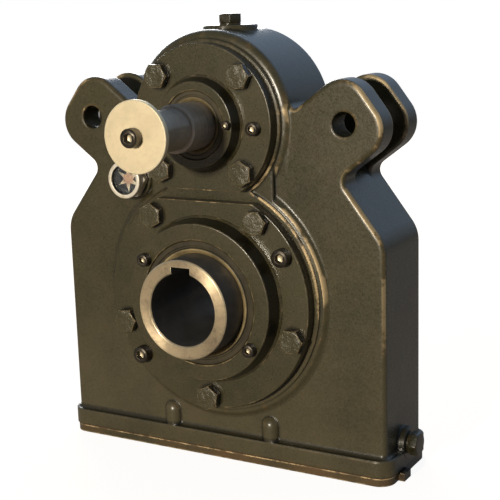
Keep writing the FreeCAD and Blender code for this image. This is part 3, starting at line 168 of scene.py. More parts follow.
class GearboxStage(bpy.types.PropertyGroup):
    floor: colour("Floor", "Floor as the lamps light it", (0.30, 0.235, 0.175))
    lift: share("Lift", "White that the camera adds to the floor at the part", 0.915)
    far_lift: share("Far lift", "White that the camera adds to the floor far away", 0.975)
    zenith: colour("Zenith", "Soft light from above", (0.33, 0.49, 0.72))
    horizon: colour("Horizon", "Dim light from the sides", (0.10, 0.11, 0.12))
    shade: share("Shade", "How much of the soft light comes from the camera's side", 0.16)
    mirrored: share("Mirrored", "Share of the backdrop's white that shows in polished pieces", 0.10)
    key_power: lamp_power("Key", "Power of the front lamp", 96.0)
    key_tint: colour("Key tint", "Colour of the front lamp", (1.0, 0.90, 0.74))
    key_width: length("Key width", "Width of the front lamp", 0.22)
    key_place: position("Key place", "Centre of the front lamp", (-0.060, -3.340, 0.600))
    fill_power: lamp_power("Fill", "Power of the lamp behind", 19.0)
    fill_tint: colour("Fill tint", "Colour of the lamp behind", (1.0, 0.97, 0.93))
    fill_width: length("Fill width", "Width of the lamp behind", 0.9)
    fill_place: position("Fill place", "Centre of the lamp behind", (-1.15, 1.40, 0.70))
    aim: position("Aim", "What both lamps face", (0.0, 0.0, 0.04))
    eye: position("Eye", "Where the camera stands", (0.4566, -0.7751, 0.2219))
    azimuth: angle("Azimuth", "Turn of the view to the right", 29.88)
    elevation: angle("Elevation", "Tilt of the view from above", 12.16)
    roll: angle("Roll", "Turn about the line of sight", -1.71)
    lens: FloatProperty(name="Lens", description="Focal length in millimetres", default=84.67, min=1.0)
    sensor: FloatProperty(name="Sensor", description="Sensor width in millimetres", default=36.0, min=1.0)


# Node trees


def connect(tree, value, socket):
    """Links a value that is a socket, and sets any other value."""
    if isinstance(value, bpy.types.NodeSocket):
        tree.links.new(value, socket)
    else:
        socket.default_value = value


def put(tree, kind, inputs=None, **settings):
    """Adds a node with its settings and inputs."""
    made = tree.nodes.new("ShaderNode" + kind)
    for name, value in settings.items():
        setattr(made, name, value)
    for key, value in (inputs or {}).items():
        connect(tree, value, made.inputs[key])
    return made


def maths(tree, operation, first, second=0.0, clamp=False):
    return put(tree, "Math", {0: first, 1: second}, operation=operation, use_clamp=clamp).outputs[0]


def product(tree, first, second):
    return maths(tree, "MULTIPLY", first, second)


def total(tree, first, second, clamp=False):
    return maths(tree, "ADD", first, second, clamp)


def rest_of(tree, share_taken):
    """What a share leaves of 1."""
    return maths(tree, "SUBTRACT", 1.0, share_taken)


def components(tree, vector):
    return put(tree, "SeparateXYZ", {0: vector}).outputs


def spread(tree, value, low, high, to_low=0.0, to_high=1.0):
    """Maps a value from one range to another, and holds it within."""
    ends = {"From Min": low, "From Max": high, "To Min": to_low, "To Max": to_high}
    return put(tree, "MapRange", {"Value": value, **ends}).outputs["Result"]


MIX_FIRST, MIX_SECOND, MIX_RESULT = 6, 7, 2  # colour sockets of a Mix node, by number because names repeat


def toned(tint, gain):
    """A colour made darker or lighter."""
    return [v * gain for v in tint]


def blended(tree, mask, first, second):
    """Mixes two colours."""
    mix = put(tree, "Mix", {0: mask}, data_type="RGBA")
    for key, value in ((MIX_FIRST, first), (MIX_SECOND, second)):
        solid = not isinstance(value, bpy.types.NodeSocket)
        connect(tree, (*value, 1.0) if solid else value, mix.inputs[key])
    return mix.outputs[MIX_RESULT]


def noise(tree, where, scale, detail=4.0, rough=0.55):
    inputs = {"Vector": where, "Scale": scale, "Detail": detail, "Roughness": rough}
    return put(tree, "TexNoise", inputs).outputs["Fac"]


def object_place(tree):
    return put(tree, "TexCoord").outputs["Object"]


def new_group(name, inputs, outputs):
    """A node group with float inputs, given as name and default, and outputs, given as name and kind."""
    tree = bpy.data.node_groups.new(name, "ShaderNodeTree")
    for label, default in inputs:
        tree.interface.new_socket(label, in_out="INPUT", socket_type="NodeSocketFloat").default_value = default
    for label, kind in outputs:
        tree.interface.new_socket(label, in_out="OUTPUT", socket_type="NodeSocket" + kind)
    return tree, tree.nodes.new("NodeGroupInput").outputs, tree.nodes.new("NodeGroupOutput").inputs


def cast_skin_group():
    """Fine grains, broad blotches, sparse specks and the height of a sand cast skin under enamel."""
    outputs = [("Grain", "Float"), ("Blotch", "Float"), ("Speck", "Float"), ("Height", "Float")]
    tree, given, out = new_group("Cast skin", [("Grain", 760.0), ("Blotch", 18.0)], outputs)
    where = object_place(tree)
    grain = noise(tree, where, given["Grain"], 3.0, 0.6)
    blotch = noise(tree, where, given["Blotch"], 4.0, 0.6)
    coarse = noise(tree, where, product(tree, given["Grain"], 0.3), 2.0, 0.5)
    speck = spread(tree, noise(tree, where, product(tree, given["Grain"], 1.7), 1.0, 0.5), 0.62, 0.78)
    wave = noise(tree, where, product(tree, given["Grain"], 0.05), 2.0, 0.5)
    height = total(tree, product(tree, grain, 0.45), coarse)
    height = total(tree, height, product(tree, wave, 4.0))
    for label, value in (("Grain", grain), ("Blotch", blotch), ("Speck", speck), ("Height", height)):
        tree.links.new(value, out[label])
    return tree


def edge_wear_group():
    """Wear on outer edges and painted shade in inner ones. An edge is where a rounded normal leaves the true
    one, and as far as Rounding says also where a surface turns from the ends to the sides."""
    outputs = [("Wear", "Float"), ("Bare", "Float"), ("Crease shade", "Float"), ("Normal", "Vector")]
    inputs = [("Radius", 0.0015), ("Amount", 0.5), ("Patches", 90.0), ("Rounding", 0.0)]
    tree, given, out = new_group("Edge wear", inputs, outputs)
    where = object_place(tree)
    soft = put(tree, "Bevel", {"Radius": given["Radius"]}, samples=8).outputs["Normal"]
    shape = put(tree, "NewGeometry").outputs
    turn = put(tree, "VectorMath", {0: soft, 1: shape["Normal"]}, operation="DOT_PRODUCT").outputs["Value"]
    edge = spread(tree, turn, 0.995, 0.93)
    outer = spread(tree, shape["Pointiness"], 0.5, 0.52)
    inner = spread(tree, shape["Pointiness"], 0.5, 0.48)
    patches = noise(tree, where, given["Patches"], 5.0, 0.65)
    level = total(tree, maths(tree, "SUBTRACT", patches, 1.0), given["Amount"])
    along = maths(tree, "ABSOLUTE", components(tree, shape["Normal"])["Y"])
    turned = product(tree, spread(tree, along, 0.99, 0.94), spread(tree, along, 0.2, 0.4))
    rounded = maths(tree, "MAXIMUM", edge, product(tree, turned, given["Rounding"]))
    outer_edge = product(tree, rounded, outer)
    tree.links.new(product(tree, outer_edge, spread(tree, level, -0.14, 0.16)), out["Wear"])
    tree.links.new(product(tree, outer_edge, spread(tree, level, 0.05, 0.2)), out["Bare"])
    # Painted shade: inner edges are darkened where shade falls.
    tree.links.new(product(tree, edge, inner), out["Crease shade"])
    edge_normal = put(tree, "Bevel", {"Radius": product(tree, given["Radius"], 0.7)}, samples=8)
    tree.links.new(edge_normal.outputs["Normal"], out["Normal"])
    return tree


def turned_lines_group():
    """Tool marks round an axis along Y: rings on a face, and lines round a shaft."""
    outputs = [("Lines", "Float"), ("Broad", "Float"), ("Radius", "Float")]
    tree, given, out = new_group("Turned lines", [("Across", 0.0), ("Axis", 0.0), ("Pitch", 2600.0)], outputs)
    place = components(tree, object_place(tree))
    side = maths(tree, "SUBTRACT", place["X"], given["Across"])
    up = maths(tree, "SUBTRACT", place["Z"], given["Axis"])
    squares = total(tree, product(tree, side, side), product(tree, up, up))
    radius = maths(tree, "SQRT", squares)
    along = put(tree, "CombineXYZ", {"X": radius, "Y": place["Y"]}).outputs[0]
    tree.links.new(noise(tree, along, given["Pitch"], 2.0, 0.6), out["Lines"])
    tree.links.new(noise(tree, along, product(tree, given["Pitch"], 0.09), 3.0, 0.5), out["Broad"])
    tree.links.new(radius, out["Radius"])
    return tree


GROUP_MAKERS = {"Cast skin": cast_skin_group, "Edge wear": edge_wear_group, "Turned lines": turned_lines_group}


def use_group(tree, name, values):
    """Places a node group, which is built when it is first used."""
    group = bpy.data.node_groups.get(name) or GROUP_MAKERS[name]()
    made = tree.nodes.new("ShaderNodeGroup")
    made.node_tree = group
    for label, value in values.items():
        connect(tree, value, made.inputs[label])
    return made.outputs


def start_material(name):
    """An empty material with its shader. The caller feeds the shader."""
    material = bpy.data.materials.new(name)
    material.use_nodes = True
    return material, material.node_tree, material.node_tree.nodes["Principled BSDF"]


def feed(tree, shader, **sockets):
    """Links or sets a shader's sockets, whose names have _ for a space."""
    for label, value in sockets.items():
        connect(tree, value, shader.inputs[label.replace("_", " ")])


def bumped(tree, shader, height, strength, distance, normal=None):
    """Gives a shader the relief of a height, on top of a normal where there is one."""
    bump = put(tree, "Bump", {"Strength": strength, "Distance": distance, "Height": height})
    if normal:
        tree.links.new(normal, bump.inputs["Normal"])
    tree.links.new(bump.outputs["Normal"], shader.inputs["Normal"])


# Finishes

BLOTCHES = 16.0  # broad tones of the enamel in a metre
TINGES = 70.0  # brown patches of the enamel in a metre
WEAR_PATCHES = 110.0  # patches of wear along the enamel's edges in a metre
FLOORWARD_FULL, FLOORWARD_REACH = 0.03, 0.14  # heights over the floor between which the lighter tone near the floor thins out
SHADE_AND_GRIME_DEPTH = 0.2  # how dark the painted shade and the dirt and oil are, as a share of the deep enamel
DARKENED_SPOT_STRENGTH = 0.85  # how far oil seeps, and the painted shade with dirt round bolts, hide the enamel
WORN_ROUGHNESS = 0.32  # roughness that wear adds to the enamel


def end_facing(tree):
    """1 where a surface faces along the shafts, and 0 where it stands round them."""
    along = components(tree, put(tree, "NewGeometry").outputs["Normal"])["Y"]
    return spread(tree, maths(tree, "ABSOLUTE", along), 0.35, 0.6)


def near_place(tree, centre, reach, gain, full=0.3):
    """A value that grows to a gain towards a place. It is full within a share of its reach."""
    apart = put(tree, "VectorMath", {0: object_place(tree), 1: centre}, operation="DISTANCE").outputs["Value"]
    return spread(tree, apart, reach, reach * full, 0.0, gain)


def rubbed_amount(tree, amount, places):
    """How far edges are rubbed: an amount that grows near some places, given as centre, reach and gain."""
    for centre, reach, gain in places:
        amount = total(tree, amount, near_place(tree, centre, reach, gain))
    return amount


def ledge_shade(tree, ledge):
    """Painted shade in the fillet just above a ledge's height, where shade falls."""
    height = components(tree, object_place(tree))["Z"]
    above = spread(tree, height, ledge - 0.0006, ledge + 0.0001)
    below = spread(tree, height, ledge + 0.0034, ledge + 0.0022)
    return product(tree, product(tree, above, below), 0.55)


def mottled_paint(tree, settings, skin, lift, chips_and_glints):
    """Sound enamel: dark and light tones, brown patches and small light chips, which on the bolt heads also
    stand in for painted glints.
    """
    deep, bright, stain = (toned(tint, lift) for tint in (settings.deep, settings.bright, settings.stain))
    tone = total(tree, product(tree, skin["Grain"], 0.6), product(tree, skin["Blotch"], 0.8))
    paint = blended(tree, spread(tree, tone, 0.45, 0.95), deep, bright)
    tinge = noise(tree, object_place(tree), TINGES, 3.0, 0.5)
    paint = blended(tree, spread(tree, tinge, 0.48, 0.68, 0.0, 0.45), paint, stain)
    return blended(tree, product(tree, skin["Speck"], chips_and_glints), paint, toned(settings.bare, 0.5))


def enamel(name, settings, radius=0.0016, amount=0.4, bump=0.2, relief=0.0005, lift=1.0, rust=0.0, rubbed=(),
           chips_and_glints=0.2, flank_shade=1.0, floorward_tone=0.0, ledge=None, darkened_spots=(), rounding=0.0):
    """Dark olive enamel over a cast skin, mottled, with painted shade in its corners and on its flanks, and
    rubbed to metal along its edges.
    """
    material, tree, shader = start_material(name)
    skin = use_group(tree, "Cast skin", {"Grain": settings.grain, "Blotch": BLOTCHES})
    wear = use_group(tree, "Edge wear", {"Radius": radius, "Amount": rubbed_amount(tree, amount, rubbed),
                                         "Patches": WEAR_PATCHES, "Rounding": rounding})
    paint = mottled_paint(tree, settings, skin, lift, chips_and_glints)
    if rust:
        stain = product(tree, spread(tree, skin["Blotch"], 0.35, 0.6), rust)
        paint = blended(tree, stain, paint, settings.rust)
    if floorward_tone:
        # Lighter, yellower colour towards the floor.
        height = components(tree, object_place(tree))["Z"]
        film = spread(tree, height, FLOOR_Z + FLOORWARD_REACH, FLOOR_Z + FLOORWARD_FULL, 0.0, floorward_tone)
        film = product(tree, film, spread(tree, skin["Blotch"], 0.3, 0.6, 0.6, 1.0))
        paint = blended(tree, film, paint, settings.dust)
    # Painted shade in the inner edges and above the foot's ledge, painted contact shadow with dirt round the
    # bolts, and oil seeps.
    shade_and_grime = product(tree, wear["Crease shade"], 0.8)
    if ledge:
        shade_and_grime = total(tree, shade_and_grime, ledge_shade(tree, ledge), clamp=True)
    for centre, reach, full in darkened_spots:
        shade_and_grime = total(tree, shade_and_grime, near_place(tree, centre, reach, DARKENED_SPOT_STRENGTH, full), clamp=True)
    darkened_paint = blended(tree, shade_and_grime, paint, toned(settings.deep, SHADE_AND_GRIME_DEPTH))
    # Painted shade: what doesn't face along the shafts gets darker enamel.
    if flank_shade < 1.0:
        darkened_paint = blended(tree, end_facing(tree), toned(settings.deep, flank_shade), darkened_paint)
    scuffed = blended(tree, product(tree, wear["Wear"], 0.7), darkened_paint, settings.worn)
    bare = wear["Bare"]
    if darkened_spots:
        not_darkened = rest_of(tree, shade_and_grime)
        scuffed = blended(tree, not_darkened, darkened_paint, scuffed)
        bare = product(tree, bare, not_darkened)
    top = blended(tree, bare, scuffed, settings.bare)
    rough = spread(tree, skin["Grain"], 0.3, 0.7, settings.gloss - 0.06, settings.gloss + 0.12)
    rough = total(tree, rough, product(tree, wear["Wear"], WORN_ROUGHNESS))
    varnish = product(tree, rest_of(tree, wear["Wear"]), settings.varnish)
    feed(tree, shader, Base_Color=top, Roughness=rough, Metallic=product(tree, bare, 0.8), Coat_Weight=varnish)
    feed(tree, shader, Specular_IOR_Level=settings.sheen, Coat_Roughness=settings.gloss * 0.75)
    bumped(tree, shader, skin["Height"], bump, relief, wear["Normal"])
    return material


def turned_steel(name, light, dark, axis, pitch, rough=0.24, stain=0.5, metal=1.0, side=None, brushed=0.75):
    """Turned metal: fine rings, broad stains and bright edges. A side colour is for what doesn't face along the
    axis."""
    material, tree, shader = start_material(name)
    lines = use_group(tree, "Turned lines", {"Axis": axis, "Pitch": pitch})
    wear = use_group(tree, "Edge wear", {"Radius": 0.0009, "Amount": 0.75, "Patches": 120.0})
    stains = noise(tree, object_place(tree), 45.0, 5.0, 0.6)
    stained = product(tree, spread(tree, stains, 0.45, 0.7), stain)
    flecks = spread(tree, noise(tree, object_place(tree), 260.0, 4.0, 0.65), 0.5, 0.72, 0.0, stain * 0.6)
    tone = total(tree, stained, product(tree, lines["Broad"], 0.25))
    tone = total(tree, tone, flecks, clamp=True)
    face = blended(tree, tone, light, dark)
    edge = blended(tree, product(tree, wear["Wear"], 0.6), face, [min(1.0, v * 1.5) for v in light])
    if side:
        end_face = end_facing(tree)
        film = blended(tree, spread(tree, stains, 0.4, 0.7), side, toned(side, 0.6))
        edge = blended(tree, end_face, film, edge)
        metal = spread(tree, end_face, 0.0, 1.0, 0.4 * metal, metal)
    feed(tree, shader, Base_Color=edge, Metallic=metal)
    feed(tree, shader, Roughness=spread(tree, lines["Lines"], 0.3, 0.7, rough - 0.07, rough + 0.12))
    round_axis = put(tree, "Tangent", direction_type="RADIAL", axis="Y").outputs[0]
    feed(tree, shader, Anisotropic=brushed, Anisotropic_Rotation=0.25, Tangent=round_axis)
    bumped(tree, shader, lines["Lines"], 0.25, 0.00008, wear["Normal"])
    return material


def dark_metal(name, base, rough, rubbed, floor):
    """Blackened metal, rubbed bright along its edges, with a painted highlight on the floor of a socket."""
    material, tree, shader = start_material(name)
    wear = use_group(tree, "Edge wear", {"Radius": 0.0006, "Amount": 0.5, "Patches": 260.0})
    film = noise(tree, object_place(tree), 170.0, 4.0, 0.6)
    tone = blended(tree, spread(tree, film, 0.35, 0.7), base, toned(base, 1.8))
    tone = blended(tree, wear["Wear"], tone, rubbed)
    # Painted highlight: the socket's floor gets a bright colour.
    inside = put(tree, "Attribute", attribute_name=SOCKET_FLOOR).outputs["Fac"]
    feed(tree, shader, Base_Color=blended(tree, inside, tone, floor), Metallic=0.7)
    feed(tree, shader, Roughness=spread(tree, film, 0.3, 0.7, rough - 0.08, rough + 0.12))
    bumped(tree, shader, film, 0.12, 0.0002)
    return material


def polished_metal(name, base, rough):
    """Ground or plated metal with faint smears."""
    material, tree, shader = start_material(name)
    smear = noise(tree, object_place(tree), 130.0, 4.0, 0.55)
    feed(tree, shader, Base_Color=blended(tree, spread(tree, smear, 0.4, 0.8), base, toned(base, 0.75)))
    feed(tree, shader, Metallic=1.0, Roughness=spread(tree, smear, 0.3, 0.7, rough * 0.7, rough * 1.5))
    bumped(tree, shader, smear, 0.05, 0.0001)
    return material


def soft_sheet(name, base, dust, scale, rough, bump):
    """Fibre sheet: matt, with dust in its grain."""
    material, tree, shader = start_material(name)
    where = object_place(tree)
    grain = noise(tree, where, scale, 4.0, 0.6)
    film = noise(tree, where, scale * 0.06, 4.0, 0.6)
    feed(tree, shader, Base_Color=blended(tree, spread(tree, film, 0.4, 0.75), base, dust))
    feed(tree, shader, Roughness=spread(tree, grain, 0.3, 0.7, rough - 0.1, rough + 0.1))
    bumped(tree, shader, grain, bump, 0.0003)
    return material


def seal_rubber(name, soft, axis, lip_r, shine):
    """Dusty rubber with a metal coloured edge round the shaft, up to a given radius, which is partly worn metal
    and partly a painted highlight.
    """
    material, tree, shader = start_material(name)
    lines = use_group(tree, "Turned lines", {"Axis": axis, "Pitch": 1800.0})
    film = noise(tree, object_place(tree), 60.0, 5.0, 0.6)
    dust = spread(tree, total(tree, film, lines["Broad"]), 0.8, 1.25)
    dusty = blended(tree, dust, soft.rubber, soft.dust)
    # The lip ring: worn metal and a painted highlight, as bright as shine says.
    lip = product(tree, spread(tree, lines["Radius"], lip_r + 0.0004, lip_r),
                  spread(tree, film, 0.35, 0.65, shine * 0.3, shine))
    feed(tree, shader, Base_Color=blended(tree, lip, dusty, soft.lip), Metallic=product(tree, lip, 0.8))
    feed(tree, shader, Roughness=spread(tree, lines["Lines"], 0.3, 0.7, 0.3, 0.5))
    bumped(tree, shader, lines["Lines"], 0.2, 0.0001)
    return material


def clear_glass(name, tint):
    """Glass with faint smears."""
    material, tree, shader = start_material(name)
    smear = noise(tree, object_place(tree), 220.0, 4.0, 0.6)
    feed(tree, shader, Base_Color=(*tint, 1.0), Metallic=0.0, Transmission_Weight=1.0, IOR=1.5)
    feed(tree, shader, Roughness=spread(tree, smear, 0.45, 0.75, 0.02, 0.12))
    return material


def dress(material, *names):
    """Gives nodes their material."""
    for name in names:
        for slot in NODES[name].material_slots:
            slot.material = material


def both_ends(name):
    return [f"{name}_front", f"{name}_rear"]


# Modelling in edit mode


def start_piece(name, add, **sizes):
    """Adds a primitive with nothing else selected, and opens it in edit mode."""
    bpy.ops.object.select_all(action="DESELECT")
    add(**sizes)
    piece = bpy.context.active_object
    piece.name = name
    piece.data.name = name
    bpy.ops.object.mode_set(mode="EDIT")
    bpy.ops.mesh.select_mode(type="VERT")
    return piece


def close_piece(piece):
    """Leaves edit mode, with the piece's place in its mesh."""
    bpy.ops.object.mode_set(mode="OBJECT")
    piece.data.transform(piece.matrix_basis)
    piece.matrix_basis = Matrix.Identity(4)
    return piece


def choose(kind, test):
    """Selects the vertices or faces of the open piece that pass the test, and nothing else."""
    bpy.ops.mesh.select_mode(type=kind)
    bpy.ops.mesh.select_all(action="DESELECT")
    mesh = bpy.context.edit_object.data
    form = bmesh.from_edit_mesh(mesh)
    for part in {"VERT": form.verts, "FACE": form.faces}[kind]:
        if test(part):
            part.select_set(True)
    form.select_flush_mode()
    bmesh.update_edit_mesh(mesh)


def apply_modifier(piece, kind, **settings):
    bpy.ops.object.select_all(action="DESELECT")
    bpy.context.view_layer.objects.active = piece
    piece.select_set(True)
    modifier = piece.modifiers.new(kind.lower(), kind)
    for name, value in settings.items():
        setattr(modifier, name, value)
    bpy.ops.object.modifier_apply(modifier=modifier.name)


def carve(piece, tool, operation):
    """Cuts a piece with a tool, which is then thrown away."""
    apply_modifier(piece, "BOOLEAN", object=tool, operation=operation, solver="EXACT")
    bpy.data.meshes.remove(tool.data)


def smooth(degrees):
    """Shades the active piece smooth, apart from edges that turn by more than an angle."""
    bpy.ops.object.shade_smooth_by_angle(angle=math.radians(degrees))


def soften(piece, width, degrees):
    """Rounds the edges that turn by more than an angle, and shades the piece smooth between them."""
    limit = math.radians(degrees)
    apply_modifier(piece, "BEVEL", width=width, segments=2, limit_method="ANGLE", angle_limit=limit)
    smooth(degrees)


def join(name, pieces):
    """Makes one piece of several."""
    bpy.ops.object.select_all(action="DESELECT")
    for piece in pieces:
        piece.select_set(True)
    bpy.context.view_layer.objects.active = pieces[0]
    if len(pieces) > 1:
        bpy.ops.object.join()
    pieces[0].name = name
    pieces[0].data.name = name
    return pieces[0]


def turn_piece(name, outline, steps=96):
    """Draws an outline of (radius, height) corners point by point, and spins it round the Z axis."""
    radius, height = outline[0]
    piece = start_piece(name, bpy.ops.mesh.primitive_plane_add, size=0.001, location=(radius, 0.0, height))
    bpy.ops.mesh.merge(type="CENTER")
    for to_radius, to_height in outline[1:]:
        bpy.ops.mesh.extrude_vertices_move(
            TRANSFORM_OT_translate={"value": (to_radius - radius, 0.0, to_height - height)})
        radius, height = to_radius, to_height
    bpy.ops.mesh.select_all(action="SELECT")
    bpy.ops.mesh.remove_doubles(threshold=TINY)
    bpy.ops.mesh.spin(steps=steps, angle=2 * math.pi, center=(0.0, 0.0, 0.0), axis=(0.0, 0.0, 1.0))
    bpy.ops.mesh.select_all(action="SELECT")
    bpy.ops.mesh.remove_doubles(threshold=TINY)
    bpy.ops.mesh.normals_make_consistent(inside=False)
    return close_piece(piece)


HEAD_FACE = 0.95  # width of a hexagon head's round faces as a share of its width across flats


def cylinder(name, vertices, radius, depth, height=0.0, turn=0.0):
    """Opens a cylinder round the Z axis in edit mode, with its middle at a height."""
    return start_piece(name, bpy.ops.mesh.primitive_cylinder_add, vertices=vertices, radius=radius, depth=depth,
                       location=(0.0, 0.0, height), rotation=(0.0, 0.0, turn), end_fill_type="NGON")


def hexagon_head(name, flats, low, high):
    """A hexagon between two heights, with the corners of its top turned off by a cone."""
    corner = flats / math.sqrt(3)
    head = close_piece(cylinder(name, 6, corner, high - low, (low + high) / 2, math.pi / 6))
    face_r = flats / 2 * HEAD_FACE
    fall = high - low + 0.001
    cone = start_piece("turning cone", bpy.ops.mesh.primitive_cone_add, vertices=120, radius2=face_r,
                       radius1=face_r + fall * math.sqrt(3), depth=fall, location=(0.0, 0.0, high - fall / 2))
    carve(head, close_piece(cone), "INTERSECT")
    return head


def hexagon_bolt(flats, head, stem_r, stem, washer_face, soft_edge):
    """A forged bolt with its head's underside at height 0: hexagon, round washer face and stem."""
    top = hexagon_head("bolt head", flats, washer_face, head)
    soften(top, soft_edge, 24)
    face_r = flats / 2 * HEAD_FACE
    outline = [(0.0, head / 2), (stem_r, head / 2), (stem_r, washer_face), (face_r, washer_face), (face_r, 0.0),
               (stem_r, 0.0), (stem_r, -stem), (0.0, -stem)]
    shank = turn_piece("bolt stem", outline, 48)
    smooth(30)
    return join("bolt", [top, shank])


SQUARE_ON = 0.9  # least part along Z of the normal of a face that lies flat


def is_top(face):
    return face.normal.z > SQUARE_ON


def pull(height):
    """Draws the chosen faces out along Z."""
    bpy.ops.mesh.extrude_region_move(TRANSFORM_OT_translate={"value": (0.0, 0.0, height)})


def widen(gain):
    """Makes what is chosen wider or narrower round the Z axis."""
    bpy.ops.transform.resize(value=(gain, gain, 1.0))


def odd_corner(corners):
    """A test for every second corner of a ring of corners round the Z axis."""
    return lambda vertex: round(math.atan2(vertex.co.x, vertex.co.y) / math.tau * corners) % 2 == 1


def star_plate(name, arms, tip_r, root_r, thick):
    """A flat star with its underside at height 0."""
    star = cylinder(name, 2 * arms, tip_r, thick, thick / 2)
    choose("VERT", odd_corner(2 * arms))
    widen(root_r / tip_r)
    close_piece(star)
    soften(star, thick * 0.25, 25)
    return star


def shaft_seal(name, inner_r, outer_r, width):
    """A shaft seal with its outer face up: case, groove, raised edge and sloping lip."""
    wall = outer_r - inner_r
    case = [(1.0, 0.0), (1.0, 0.9), (0.95, 0.96), (0.62, 0.96)]
    groove = [(0.57, 0.88), (0.47, 0.88)]
    edge = [(0.41, 0.98), (0.32, 1.0), (0.19, 0.95)]
    lip = [(0.01, 0.78), (0.06, 0.62), (0.25, 0.45), (0.3, 0.0), (1.0, 0.0)]
    shares = case + groove + edge + lip
    seal = turn_piece(name, [(inner_r + wall * across, width * up) for across, up in shares])
    smooth(35)
    return seal


def sight_body(flats, hexagon, rim_r, window_r, bore_r, face, stem_r, stem):
    """A sight glass body with its seat at height 0: hexagon, rounded rim, stepped bore and stem."""
    nut = hexagon_head("sight glass nut", flats, 0.0, hexagon)
    tool_r = (rim_r + window_r) / 2
    carve(nut, close_piece(cylinder("bore tool", 64, tool_r, 4 * hexagon)), "DIFFERENCE")
    soften(nut, 0.0003, 24)
    round_r = (rim_r - window_r) * 0.2
    corner = round_r * 0.3
    floor, ledge = hexagon * 0.1, hexagon * 0.5
    sleeve_r = tool_r - 0.0002
    bore = [(0.0, floor), (bore_r, floor), (bore_r, ledge), (window_r, ledge)]
    rim = [(window_r, face - round_r), (window_r + corner, face - corner), (window_r + round_r, face),
           (rim_r - round_r, face), (rim_r - corner, face - corner), (rim_r, face - round_r),
           (rim_r, hexagon + round_r), (rim_r - round_r, hexagon)]
    sleeve = [(sleeve_r, hexagon * 0.95), (sleeve_r, 0.0), (stem_r, 0.0), (stem_r, -stem), (0.0, -stem)]
    turned = turn_piece("sight glass rim", bore + rim + sleeve, 64)
    smooth(50)
    return join("sight glass", [nut, turned])


def socket_screw(sizes):
    """A socket head screw of thread 1 with its head's underside at height 0: knurled head, socket and stem."""
    head_r, stem_r, stem = 0.83, 0.5, 1.0
    knurled, run_out, chamfer, chamfer_share = 0.84, 0.06, 0.1, 0.89
    socket_depth = 0.55
    screw = cylinder("socket screw", 2 * sizes.knurls, head_r, knurled, knurled / 2)
    is_groove = odd_corner(2 * sizes.knurls)
    inward = 1.0 - sizes.knurl_depth
    choose("VERT", is_groove)
    widen(inward)
    choose("FACE", is_top)
    pull(run_out)
    choose("VERT", lambda vertex: vertex.co.z > (knurled + run_out) / 2 and is_groove(vertex))
    widen(1 / inward)
    choose("FACE", is_top)
    pull(chamfer)
    widen(chamfer_share)
    choose("FACE", lambda face: face.normal.z < -SQUARE_ON)
    bpy.ops.mesh.inset(thickness=head_r - stem_r)
    pull(-stem)
    close_piece(screw)
    socket_r = 2 * head_r * sizes.socket / math.sqrt(3)
    carve(screw, close_piece(cylinder("socket tool", 6, socket_r, 2 * socket_depth, 1.0)), "DIFFERENCE")
    soften(screw, 0.03, 55)
    bright = screw.data.attributes.new(SOCKET_FLOOR, "FLOAT", "FACE")
    for face in screw.data.polygons:
        bright.data[face.index].value = float(is_top(face) and face.center.z < 0.6)
    return screw


# Fitting new pieces over the solids they stand for


def solid_boxes(name):
    """The lowest and highest corner of each separate solid of a node."""
    form = bmesh.new()
    form.from_mesh(NODES[name].data)
    bmesh.ops.remove_doubles(form, verts=form.verts, dist=TINY)
    boxes = []
    waiting = set(form.verts)
    while waiting:
        near = [waiting.pop()]
        solid = []
        while near:
            vertex = near.pop()
            solid.append(vertex.co.copy())
            beside = {edge.other_vert(vertex) for edge in vertex.link_edges} & waiting
            waiting -= beside
            near.extend(beside)
        boxes.append([Vector(pick(point[n] for point in solid) for n in range(3)) for pick in (min, max)])
    form.free()
    return sorted(boxes, key=lambda box: tuple(round(v, 4) for v in box[0]))


def facing(direction):
    """Turns a piece that points up the Z axis so that it points in a direction."""
    return UP.rotation_difference(direction).to_matrix().to_4x4()


def copies_over(pattern, node, head_height, directions, turns=()):
    """One copy of a pattern for each solid of a node, its top at the solid's outer end, joined to one piece."""
    made = []
    width = pattern.dimensions.x
    for n, (low, high) in enumerate(solid_boxes(node)):
        middle = (low + high) / 2
        out = min(directions, key=lambda way: -way.dot(middle))
        size = (high - low) - Vector(abs(v) * s for v, s in zip(out, high - low))
        scale = max(size) / width
        end = middle + Vector(v * s / 2 for v, s in zip(out, high - low))
        place = Matrix.Translation(end - out * head_height * scale) @ facing(out) @ Matrix.Scale(scale, 4)
        turn = Matrix.Rotation(math.radians(turns[n % len(turns)]) if turns else 0.0, 4, "Z")
        copy = bpy.data.objects.new(node, pattern.data.copy())
        bpy.context.scene.collection.objects.link(copy)
        copy.data.transform(place @ turn)
        made.append(copy)
    return join(f"{node}_modelled", made)


def set_up(piece, base, direction):
    """Moves a piece that was made on the Z axis to its base, pointing in a direction."""
    piece.data.transform(Matrix.Translation(base) @ facing(direction))
    return piece


def stand_for(piece, node, body, material):
    """Puts a finished piece in the place of a node."""
    piece.data.materials.clear()
    piece.data.materials.append(material)
    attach(piece, body)
    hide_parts(node)


FRONT = Vector((0.0, -1.0, 0.0))
REAR = Vector((0.0, 1.0, 0.0))
RIGHT = Vector((1.0, 0.0, 0.0))
UP = Vector((0.0, 0.0, 1.0))

# Where the casting's edges are rubbed to bare metal, as centre, reach and gain; on the right-hand edges this
# also stands in for painted highlights
RUBBED_AND_HIGHLIGHT_PLACES = (((0.142, -0.033, 0.152), 0.040, 0.52), ((0.128, 0.012, 0.152), 0.040, 0.52),
           ((0.116, -0.034, 0.078), 0.040, 0.52), ((0.068, -0.035, 0.140), 0.017, 0.3),
           ((0.058, -0.037, 0.080), 0.034, 0.42), ((0.086, -0.037, 0.030), 0.040, 0.4),
           ((0.139, -0.034, 0.000), 0.060, 0.36), ((-0.085, -0.034, 0.165), 0.024, 0.1))
# The rear is rubbed less, and on the other side
RUBBED_PLACES_BEHIND = tuple(((-x, -y, z), reach, gain * 0.75) for (x, y, z), reach, gain in RUBBED_AND_HIGHLIGHT_PLACES)
